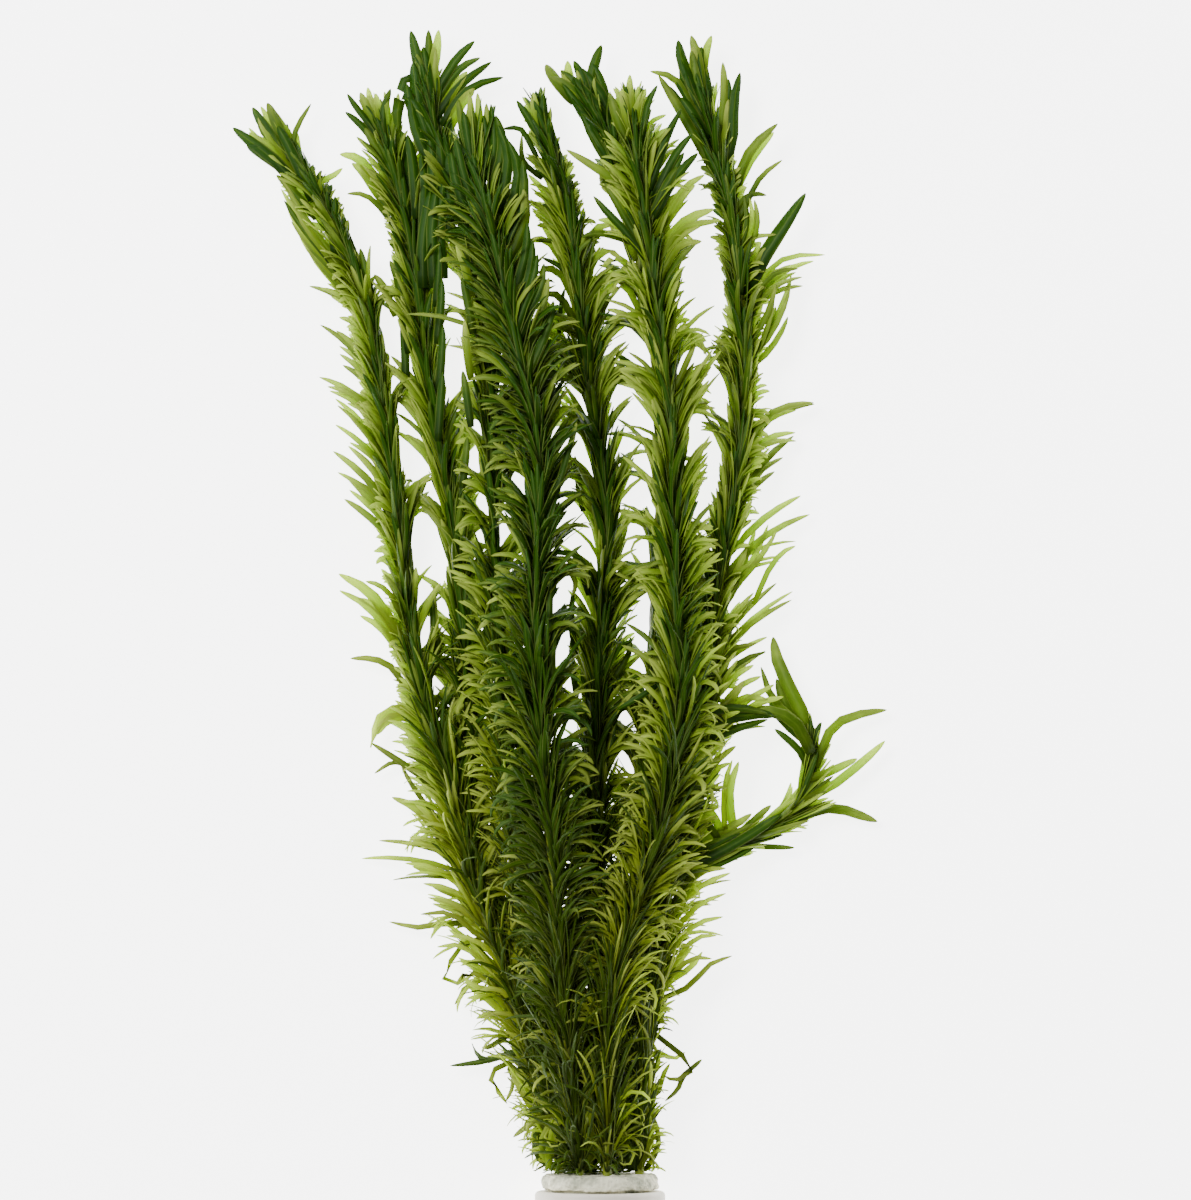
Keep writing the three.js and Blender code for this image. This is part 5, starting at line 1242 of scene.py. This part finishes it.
class Sheet:
    """A material's or a group's node sheet, filled one node at a time"""

    def __init__(self, tree):
        self.tree = tree
        self.tree.nodes.clear()

    def add(self, kind, inputs=None, **options):
        node = self.tree.nodes.new("ShaderNode" + kind)
        for option, value in options.items():
            setattr(node, option, value)
        for key, value in (inputs or {}).items():
            self.feed(node.inputs[key], value)
        return node

    def feed(self, socket, value):
        if isinstance(value, bpy.types.NodeSocket):
            self.tree.links.new(value, socket)
        else:
            socket.default_value = value

    def ramp(self, value, start, end, low=0.0, high=1.0):
        return self.add("MapRange", {"Value": value, "From Min": start, "From Max": end,
                                     "To Min": low, "To Max": high},
                        interpolation_type="SMOOTHSTEP").outputs["Result"]

    def math(self, operation, first, second=0.5):
        return self.add("Math", {0: first, 1: second}, operation=operation).outputs[0]

    def mix(self, share, first, second, blend="MIX"):
        node = self.add("Mix", data_type="RGBA", blend_type=blend)
        self.feed(node.inputs[0], share)
        self.feed(node.inputs[6], first)
        self.feed(node.inputs[7], second)
        return node.outputs[2]


def colour(values):
    return tuple(values)[:3] + (1.0,)


def new_material(name):
    material = bpy.data.materials.new(name)
    material.use_nodes = True
    return material, Sheet(material.node_tree)


def grain_group():
    """A group shared by all materials: soft blotches and a fine grain from a place"""
    tree = bpy.data.node_groups.get("blotches_and_grain")
    if tree:
        return tree
    tree = bpy.data.node_groups.new("blotches_and_grain", "ShaderNodeTree")
    for name, default in (("Place", None), ("Blotch Scale", 40.0), ("Grain Scale", 900.0)):
        kind = "NodeSocketVector" if default is None else "NodeSocketFloat"
        socket = tree.interface.new_socket(name, in_out="INPUT", socket_type=kind)
        if default is not None:
            socket.default_value = default
    for name in ("Blotches", "Grain"):
        tree.interface.new_socket(name, in_out="OUTPUT", socket_type="NodeSocketFloat")
    sheet = Sheet(tree)
    given = tree.nodes.new("NodeGroupInput")
    result = tree.nodes.new("NodeGroupOutput")
    for name, detail in (("Blotch", 3.0), ("Grain", 4.0)):
        noise = sheet.add("TexNoise", {"Vector": given.outputs["Place"],
                                       "Scale": given.outputs[name + " Scale"],
                                       "Detail": detail, "Roughness": 0.6})
        output = "Blotches" if name == "Blotch" else "Grain"
        tree.links.new(noise.outputs["Fac"], result.inputs[output])
    return tree


def use_grain(sheet, place, blotch_scale, grain_scale):
    node = sheet.tree.nodes.new("ShaderNodeGroup")
    node.node_tree = grain_group()
    sheet.feed(node.inputs["Place"], place)
    node.inputs["Blotch Scale"].default_value = blotch_scale
    node.inputs["Grain Scale"].default_value = grain_scale
    return node.outputs["Blotches"], node.outputs["Grain"]


def leaf_material():
    """Thin wet leaf: green by its age, with a pale midrib, a yellower rim and tip that are partly its
    own colour and partly painted glow, painted shade towards its root, and lit through
    """
    look = settings()
    material, sheet = new_material("waterweed_leaf")
    age = sheet.add("Attribute", attribute_name="age").outputs["Fac"]
    tone = sheet.add("Attribute", attribute_name="tone").outputs["Fac"]
    place = sheet.add("TexCoord").outputs["Object"]
    blade = sheet.add("UVMap", uv_map="blade").outputs["UV"]
    split = sheet.add("SeparateXYZ", {0: blade})
    rim = sheet.math("MULTIPLY", sheet.math(
        "ABSOLUTE", sheet.math("SUBTRACT", split.outputs[0], 0.5)), 2.0)
    blotches, grain = use_grain(sheet, place, 90.0, 1400.0)
    stretched = sheet.add("Mapping", {"Vector": blade, "Scale": (9.0, 1.5, 1.0)}).outputs[0]
    streaks = sheet.add("TexNoise", {"Vector": stretched, "Scale": 2.2, "Detail": 2.0}).outputs["Fac"]

    pale_share = sheet.ramp(sheet.math("ADD", tone, sheet.math(
        "MULTIPLY", sheet.math("SUBTRACT", blotches, 0.5), 0.7)), 0.0, 1.0)
    young = sheet.mix(pale_share, colour(look.young_dark), colour(look.young_pale))
    grown = sheet.mix(pale_share, colour(look.grown_dark), colour(look.grown_pale))
    old = sheet.mix(pale_share, colour(look.old_dark), colour(look.old_pale))
    body = sheet.mix(sheet.ramp(age, 0.1, 0.5), young, grown)
    body = sheet.mix(sheet.ramp(age, 0.5, 1.0), body, old)
    # The paler, yellower tip and rim are partly the leaf's own colour and partly painted glow of
    # light shining through the thin leaf
    tip_and_glow_share = sheet.math("MULTIPLY", sheet.ramp(split.outputs[1], 0.4, 1.0), 0.8)
    tip_and_glow_share = sheet.math("MULTIPLY", tip_and_glow_share, pale_share)
    body = sheet.mix(tip_and_glow_share, body, colour(look.tip_and_glow_colour))
    rim_and_glow_share = sheet.ramp(rim, 0.7, 1.0, 0.0, 0.12)
    body = sheet.mix(rim_and_glow_share, body, colour(look.tip_and_glow_colour))
    midrib = sheet.ramp(rim, 0.02, 0.16, 0.2, 0.0)
    body = sheet.mix(midrib, body, colour(look.midrib_colour))
    body = sheet.mix(sheet.ramp(streaks, 0.35, 0.7, 0.0, 0.25), body, colour(look.grown_dark))

    # Painted shade: each leaf is darkened towards its root, where the leaves of a column overlap and
    # shade one another
    root_painted_shade = sheet.ramp(split.outputs[1], 0.0, 0.55, 0.42, 1.0)
    body = sheet.mix(1.0, body, root_painted_shade, blend="MULTIPLY")
    glow = sheet.mix(0.55, body, colour(look.glow_colour))
    bump = sheet.add("Bump", {"Strength": 0.35, "Distance": 0.0002,
                              "Height": sheet.math("ADD", streaks, grain)})
    skin = sheet.add("BsdfPrincipled", {"Base Color": body, "Roughness": 0.5,
                                        "Specular IOR Level": 0.14,
                                        "Normal": bump.outputs["Normal"]})
    through = sheet.add("BsdfTranslucent", {"Color": glow, "Normal": bump.outputs["Normal"]})
    thin = sheet.ramp(pale_share, 0.0, 1.0, 0.15, 0.55)
    leaf = sheet.add("MixShader", {0: thin, 1: skin.outputs[0], 2: through.outputs[0]})
    sheet.add("OutputMaterial", {"Surface": leaf.outputs[0]})
    return material


def stem_material():
    """Smooth wet stem: olive green, paler up the stem, with darker rings where whorls grow"""
    look = settings()
    material, sheet = new_material("waterweed_stem")
    age = sheet.add("Attribute", attribute_name="age").outputs["Fac"]
    joint = sheet.add("Attribute", attribute_name="joint").outputs["Fac"]
    place = sheet.add("TexCoord").outputs["Object"]
    drawn = sheet.add("Mapping", {"Vector": place, "Scale": (1.0, 0.12, 1.0)}).outputs[0]
    blotches, grain = use_grain(sheet, drawn, 350.0, 2500.0)
    body = sheet.mix(age, colour(look.stem_young), colour(look.stem_old))
    body = sheet.mix(sheet.ramp(blotches, 0.3, 0.75, 0.0, 0.55), body, colour(look.old_pale))
    body = sheet.mix(sheet.math("MULTIPLY", joint, 0.6), body, colour(look.joint_colour))
    bump = sheet.add("Bump", {"Strength": 0.3, "Distance": 0.0003,
                              "Height": sheet.math("ADD", blotches, grain)})
    skin = sheet.add("BsdfPrincipled", {"Base Color": body, "Roughness": 0.5,
                                        "Specular IOR Level": 0.3,
                                        "Normal": bump.outputs["Normal"]})
    sheet.add("OutputMaterial", {"Surface": skin.outputs[0]})
    return material


def foam_material():
    """Open soft foam: pale cream, with grey damp blotches and painted shade in its pores"""
    look = settings()
    material, sheet = new_material("soft_foam")
    place = sheet.add("TexCoord").outputs["Object"]
    blotches, grain = use_grain(sheet, place, 230.0, 1800.0)
    pores = sheet.add("TexVoronoi", {"Vector": place, "Scale": 1300.0}).outputs["Distance"]
    body = sheet.mix(sheet.ramp(blotches, 0.4, 0.65), colour(look.foam_colour),
                     colour(look.foam_damp))
    # Painted shade: the foam darkens in its pores
    body = sheet.mix(sheet.ramp(pores, 0.0, 0.32, 0.55, 0.0), body, colour(look.pore_painted_shade))
    height = sheet.math("ADD", pores, sheet.math("MULTIPLY", grain, 0.5))
    bump = sheet.add("Bump", {"Strength": 0.8, "Distance": 0.0004, "Height": height})
    skin = sheet.add("BsdfPrincipled", {"Base Color": body, "Roughness": 0.95,
                                        "Specular IOR Level": 0.15,
                                        "Normal": bump.outputs["Normal"]})
    sheet.add("OutputMaterial", {"Surface": skin.outputs[0]})
    return material


def clay_material():
    """Unglazed fired clay: pale cream with fine speckles and a slightly rough skin"""
    look = settings()
    material, sheet = new_material("fired_clay")
    place = sheet.add("TexCoord").outputs["Object"]
    blotches, grain = use_grain(sheet, place, 120.0, 2600.0)
    specks = sheet.add("TexVoronoi", {"Vector": place, "Scale": 700.0}).outputs["Distance"]
    body = sheet.mix(sheet.ramp(blotches, 0.35, 0.7, 0.0, 0.7), colour(look.clay_colour),
                     colour(look.clay_shade))
    body = sheet.mix(sheet.ramp(specks, 0.06, 0.14, 0.5, 0.0), body, colour(look.speck_colour))
    bump = sheet.add("Bump", {"Strength": 0.4, "Distance": 0.0002, "Height": grain})
    skin = sheet.add("BsdfPrincipled", {"Base Color": body,
                                        "Roughness": sheet.ramp(grain, 0.2, 0.8, 0.6, 0.85),
                                        "Normal": bump.outputs["Normal"]})
    sheet.add("OutputMaterial", {"Surface": skin.outputs[0]})
    return material


def floor_material():
    material, sheet = new_material("pale_floor")
    skin = sheet.add("BsdfPrincipled", {"Base Color": colour(settings().floor_colour),
                                        "Roughness": 0.9,
                                        "Emission Color": (1.0, 1.0, 1.0, 1.0),
                                        "Emission Strength": settings().floor_glow})
    sheet.add("OutputMaterial", {"Surface": skin.outputs[0]})
    return material


def the_material(make):
    """A material that several pieces share is made once"""
    found = bpy.data.materials.get(SHARED.get(make, ""))
    if not found:
        found = make()
        SHARED[make] = found.name
    return found


SHARED = {}


# Pieces


def make_axis(stem):
    """A stem's axis: a smooth rod along its route, a little thicker where each whorl grows"""
    start_fresh()
    whorls = np.array(stem.whorls())
    count = int(stem.length / settings().axis_step * MM)
    from_tip = np.linspace(stem.length, 0, count)
    middle = stem.at(from_tip)[0] + SHIFT
    nearest = np.abs(from_tip[:, None] - whorls[None]).min(axis=1)
    swell = np.exp(-(nearest / JOINT_LENGTH) ** 2) * ramp(from_tip, 10, 40)
    radius = stem.radius(from_tip) * (1 + JOINT_SWELL * swell)
    radius[-1] = AXIS_TIP_R
    curve = bpy.data.curves.new(stem.name + "_axis", "CURVE")
    curve.dimensions = "3D"
    curve.bevel_depth = 1.0
    curve.bevel_resolution = 3
    curve.use_fill_caps = True
    spline = curve.splines.new("POLY")
    spline.points.add(count - 1)
    spline.points.foreach_set("co", np.append(middle * MM, np.ones((count, 1)), axis=1).ravel())
    spline.points.foreach_set("radius", radius * MM)
    rod = bpy.data.objects.new(stem.name + "_axis", curve)
    bpy.context.scene.collection.objects.link(rod)
    bpy.context.view_layer.objects.active = rod
    rod.select_set(True)
    bpy.ops.object.convert(target="MESH")
    rod = bpy.context.object
    bpy.ops.object.mode_set(mode="EDIT")
    bpy.ops.mesh.select_all(action="SELECT")
    bpy.ops.mesh.remove_doubles(threshold=0.001 * MM)
    bpy.ops.mesh.normals_make_consistent(inside=False)
    bpy.ops.object.mode_set(mode="OBJECT")
    co = np.array([vertex.co for vertex in rod.data.vertices]) / MM
    closest = np.array([np.abs(middle - place).sum(axis=1).argmin() for place in co])
    add_values(rod.data, "age", age_of(from_tip[closest]))
    add_values(rod.data, "joint", swell[closest])
    bpy.ops.object.shade_smooth()
    return rod


def make_ring():
    """The weight ring: a turned wall with rounded rims"""
    start_fresh()
    y = RING_TOP - RING_HEIGHT / 2
    centre = (np.array([0, y, RING_OUTER_R]) + SHIFT) * MM
    bpy.ops.mesh.primitive_cylinder_add(vertices=96, radius=RING_OUTER_R * MM,
                                        depth=RING_HEIGHT * MM, location=centre,
                                        rotation=(math.pi / 2, 0, 0))
    ring = bpy.context.object
    ring.name = "ceramic_ring_body"
    bpy.ops.object.transform_apply(location=True, rotation=True, scale=True)
    bpy.ops.object.mode_set(mode="EDIT")
    bpy.ops.mesh.select_mode(type="FACE")
    pick_faces(ring, lambda face: len(face.verts) > 4)
    bpy.ops.mesh.inset(thickness=(RING_OUTER_R - RING_INNER_R) * MM)
    bpy.ops.mesh.bridge_edge_loops()
    bpy.ops.mesh.select_all(action="SELECT")
    bpy.ops.mesh.normals_make_consistent(inside=False)
    bpy.ops.object.mode_set(mode="OBJECT")
    edge = ring.modifiers.new("rims", "BEVEL")
    edge.width = RING_EDGE * MM
    edge.segments = 5
    edge.limit_method = "ANGLE"
    edge.angle_limit = math.radians(50)
    apply_modifiers(ring)
    bpy.ops.object.shade_smooth_by_angle(angle=math.radians(40))
    return ring


def make_foam():
    """The foam plug: a shaft in the ring, a soft bulging head, and a rough torn skin"""
    start_fresh()
    length = (FOAM_LENGTH + RING_TOP) * MM
    middle_y = (RING_TOP - FOAM_LENGTH) / 2
    centre = (np.array([0, middle_y, RING_OUTER_R]) + SHIFT) * MM
    shaft_r = RING_INNER_R - GAP
    bpy.ops.mesh.primitive_cylinder_add(vertices=72, radius=shaft_r * MM, depth=length,
                                        location=centre, rotation=(math.pi / 2, 0, 0))
    foam = bpy.context.object
    foam.name = "foam_plug_body"
    bpy.ops.object.transform_apply(location=True, rotation=True, scale=True)
    top = (RING_TOP + SHIFT[1]) * MM
    axis = (centre[0], top, centre[2])
    bpy.ops.object.mode_set(mode="EDIT")
    bpy.ops.mesh.select_mode(type="FACE")
    pick_faces(foam, lambda face: len(face.verts) > 4 and face.normal.y > 0.5)
    bpy.ops.transform.translate(value=(0, GAP * MM, 0))
    wide = FOAM_BULGE_R / shaft_r
    for rise, share in ((0, wide * FOAM_FIRST_SHARE), *FOAM_HEAD):
        bpy.ops.mesh.extrude_region_move(TRANSFORM_OT_translate={"value": (0, rise * MM, 0)})
        bpy.ops.transform.resize(value=(share, 1, share), center_override=axis)
    for share in FOAM_TOP_RINGS:
        bpy.ops.mesh.extrude_region_move(TRANSFORM_OT_translate={"value": (0, 0, 0)})
        bpy.ops.transform.resize(value=(share, 1, share), center_override=axis)
    bpy.ops.object.mode_set(mode="OBJECT")
    shell = foam.modifiers.new("even_skin", "REMESH")
    shell.mode = "VOXEL"
    shell.voxel_size = FOAM_VOXEL * MM
    clouds = bpy.data.textures.new("torn_foam", "CLOUDS")
    clouds.noise_scale = FOAM_LUMP_SIZE * MM
    clouds.noise_depth = 2
    lumps = foam.modifiers.new("torn_skin", "DISPLACE")
    lumps.texture = clouds
    lumps.texture_coords = "LOCAL"
    lumps.strength = FOAM_LUMP_HEIGHT * MM
    lumps.mid_level = 0.75
    apply_modifiers(foam)
    bpy.ops.object.shade_smooth()
    return foam


class WaterweedSettings(bpy.types.PropertyGroup):
    """Sizes and colours of the bunch"""

    leaf_width: bpy.props.FloatProperty(
        name="Leaf width", description="Width of a grown leaf", default=0.00138, unit="LENGTH")
    leaf_thickness: bpy.props.FloatProperty(
        name="Leaf thickness", description="Thickness of a leaf", default=0.00015, unit="LENGTH")
    stem_width: bpy.props.FloatProperty(
        name="Stem width", description="Thickness of a grown stem", default=0.002, unit="LENGTH")
    axis_step: bpy.props.FloatProperty(
        name="Stem step", description="Length between a stem's rings", default=0.0013,
        unit="LENGTH")
    crown_spacing: bpy.props.FloatProperty(
        name="Crown spacing", description="Between whorls near the growing tip", default=0.0015,
        unit="LENGTH")
    middle_spacing: bpy.props.FloatProperty(
        name="Middle spacing", description="Between whorls of grown leaves", default=0.0023,
        unit="LENGTH")
    low_spacing: bpy.props.FloatProperty(
        name="Low spacing", description="Between whorls of old leaves", default=0.0026,
        unit="LENGTH")
    leaves_in_whorl: bpy.props.IntProperty(
        name="Leaves in a whorl", description="How many leaves grow at one height", default=8)
    young_dark: bpy.props.FloatVectorProperty(
        name="Young leaf, dark", description="Darkest young leaf", subtype="COLOR",
        default=(0.015, 0.061, 0.001))
    young_pale: bpy.props.FloatVectorProperty(
        name="Young leaf, pale", description="Palest young leaf", subtype="COLOR",
        default=(0.26, 0.48, 0.016))
    grown_dark: bpy.props.FloatVectorProperty(
        name="Grown leaf, dark", description="Darkest grown leaf", subtype="COLOR",
        default=(0.017, 0.062, 0.001))
    grown_pale: bpy.props.FloatVectorProperty(
        name="Grown leaf, pale", description="Palest grown leaf", subtype="COLOR",
        default=(0.32, 0.49, 0.016))
    old_dark: bpy.props.FloatVectorProperty(
        name="Old leaf, dark", description="Darkest old leaf", subtype="COLOR",
        default=(0.028, 0.056, 0.001))
    old_pale: bpy.props.FloatVectorProperty(
        name="Old leaf, pale", description="Palest old leaf", subtype="COLOR",
        default=(0.4, 0.47, 0.02))
    # Partly the leaf's own pale tip and rim, partly painted glow of light through them
    tip_and_glow_colour: bpy.props.FloatVectorProperty(
        name="Leaf tip", description="Rim and tip of a pale leaf", subtype="COLOR",
        default=(0.8, 0.88, 0.2))
    midrib_colour: bpy.props.FloatVectorProperty(
        name="Midrib", description="Line along a leaf's middle", subtype="COLOR",
        default=(0.22, 0.33, 0.03))
    glow_colour: bpy.props.FloatVectorProperty(
        name="Light through a leaf", description="Tint of light that passes a leaf",
        subtype="COLOR", default=(0.62, 0.85, 0.06))
    stem_young: bpy.props.FloatVectorProperty(
        name="Young stem", description="Stem near its tip", subtype="COLOR",
        default=(0.07, 0.14, 0.012))
    stem_old: bpy.props.FloatVectorProperty(
        name="Old stem", description="Stem near its cut end", subtype="COLOR",
        default=(0.075, 0.11, 0.008))
    joint_colour: bpy.props.FloatVectorProperty(
        name="Stem joint", description="Ring where a whorl grows", subtype="COLOR",
        default=(0.07, 0.075, 0.01))
    foam_colour: bpy.props.FloatVectorProperty(
        name="Foam", description="Dry foam", subtype="COLOR", default=(0.82, 0.8, 0.6))
    foam_damp: bpy.props.FloatVectorProperty(
        name="Damp foam", description="Foam where it is damp", subtype="COLOR",
        default=(0.4, 0.41, 0.3))
    pore_painted_shade: bpy.props.FloatVectorProperty(
        # Painted shade inside the foam's pores
        name="Foam pores", description="Inside of the foam's pores", subtype="COLOR",
        default=(0.25, 0.24, 0.2))
    clay_colour: bpy.props.FloatVectorProperty(
        name="Clay", description="Fired clay of the ring", subtype="COLOR",
        default=(0.74, 0.7, 0.6))
    clay_shade: bpy.props.FloatVectorProperty(
        name="Clay blotches", description="Darker blotches of the clay", subtype="COLOR",
        default=(0.62, 0.57, 0.46))
    speck_colour: bpy.props.FloatVectorProperty(
        name="Clay specks", description="Fine specks in the clay", subtype="COLOR",
        default=(0.35, 0.28, 0.2))
    floor_colour: bpy.props.FloatVectorProperty(
        name="Floor", description="Pale surface under the bunch", subtype="COLOR",
        default=(0.9, 0.9, 0.9))
    floor_glow: bpy.props.FloatProperty(
        name="Floor glow", description="Light given off by the surface", default=5)
    sky_light: bpy.props.FloatProperty(
        name="Room light", description="Strength of the even light", default=0.42)
    lamp_power: bpy.props.FloatProperty(
        name="Lamp power", description="Power of the soft lamp", default=18.0, unit="POWER")


class WATERWEED_OT_stems(bpy.types.Operator):
    """Adds the axes of the stems and the side shoot"""

    bl_idname = "waterweed.stems"
    bl_label = "Add stems"

    def execute(self, context):
        for stem in STEMS:
            rod = make_axis(stem)
            dress(rod, the_material(stem_material), "weed", stem.name)
        return {"FINISHED"}


class WATERWEED_OT_leaves(bpy.types.Operator):
    """Adds all leaves, as one piece for each stem"""

    bl_idname = "waterweed.leaves"
    bl_label = "Add leaves"

    def execute(self, context):
        blade = model_blade()
        for stem in STEMS:
            groups = [whorled_leaves(stem)] + traced_leaves(stem) + curled_leaves(stem)
            if stem.name != "side_shoot":
                groups += [fringe_leaves(stem)] + low_leaves(stem)
            leaves = join_leaves(groups)
            piece = draw_blades(blade, leaves, stem.name + "_leaves")
            dress(piece, the_material(leaf_material), "weed", stem.name)
        bpy.data.objects.remove(blade)
        return {"FINISHED"}


class WATERWEED_OT_ring(bpy.types.Operator):
    """Adds the ceramic weight ring"""

    bl_idname = "waterweed.ring"
    bl_label = "Add ring"

    def execute(self, context):
        dress(make_ring(), clay_material(), "ceramic", "ceramic_ring")
        return {"FINISHED"}


class WATERWEED_OT_foam(bpy.types.Operator):
    """Adds the foam plug"""

    bl_idname = "waterweed.foam"
    bl_label = "Add foam"

    def execute(self, context):
        dress(make_foam(), foam_material(), "foam", "foam_plug")
        return {"FINISHED"}


# The picture's frame in millimetres of the bunch's own frame
VIEW_X = -0.97
VIEW_Y = 122.98
VIEW_HEIGHT = 258
VIEW_DISTANCE = 2500
VIEW_LEVEL = 10
SENSOR = 24


class WATERWEED_OT_stage(bpy.types.Operator):
    """Adds the pale floor, the lights and the camera"""

    bl_idname = "waterweed.stage"
    bl_label = "Add stage"

    def execute(self, context):
        start_fresh()
        bpy.ops.mesh.primitive_plane_add(size=4, location=(0, 0, 0))
        floor = context.object
        floor.name = "floor"
        floor.data.materials.append(floor_material())
        world = bpy.data.worlds.new("room")
        world.use_nodes = True
        room = world.node_tree.nodes["Background"]
        room.inputs["Color"].default_value = (1.0, 1.0, 1.0, 1.0)
        room.inputs["Strength"].default_value = settings().sky_light
        context.scene.world = world
        middle = (np.array([VIEW_X, VIEW_Y, 0]) + SHIFT) * MM
        lamp = bpy.data.lights.new("soft_lamp", "AREA")
        lamp.shape = "DISK"
        lamp.size = 0.5
        lamp.energy = settings().lamp_power
        holder = bpy.data.objects.new("soft_lamp", lamp)
        holder.location = middle + (-0.45, 0.35, 1.0)
        holder.rotation_euler = (math.radians(-22), math.radians(-22), 0)
        context.scene.collection.objects.link(holder)
        camera = bpy.data.cameras.new("camera")
        camera.sensor_fit = "VERTICAL"
        camera.sensor_height = SENSOR
        camera.lens = SENSOR * (VIEW_DISTANCE - VIEW_LEVEL) / VIEW_HEIGHT
        camera.clip_end = 10
        viewer = bpy.data.objects.new("camera", camera)
        viewer.location = middle + (0, 0, VIEW_DISTANCE * MM)
        context.scene.collection.objects.link(viewer)
        context.scene.camera = viewer
        return {"FINISHED"}


class WATERWEED_PT_panel(bpy.types.Panel):
    """Lists the steps that make the bunch"""

    bl_label = "Waterweed"
    bl_idname = "WATERWEED_PT_panel"
    bl_space_type = "VIEW_3D"
    bl_region_type = "UI"
    bl_category = "Waterweed"

    def draw(self, context):
        for step in STEPS:
            self.layout.operator(step.bl_idname)
        for name in WaterweedSettings.__annotations__:
            self.layout.prop(context.scene.waterweed, name)


STEPS = [WATERWEED_OT_stage, WATERWEED_OT_ring, WATERWEED_OT_foam, WATERWEED_OT_stems,
         WATERWEED_OT_leaves]
CLASSES = [WaterweedSettings, *STEPS, WATERWEED_PT_panel]


def register():
    for each in CLASSES:
        bpy.utils.register_class(each)
    bpy.types.Scene.waterweed = bpy.props.PointerProperty(type=WaterweedSettings)


def unregister():
    del bpy.types.Scene.waterweed
    for each in reversed(CLASSES):
        bpy.utils.unregister_class(each)


def main():
    register()
    bpy.ops.waterweed.stage()
    bpy.ops.waterweed.ring()
    bpy.ops.waterweed.foam()
    bpy.ops.waterweed.stems()
    bpy.ops.waterweed.leaves()


if __name__ == "__main__":
    main()
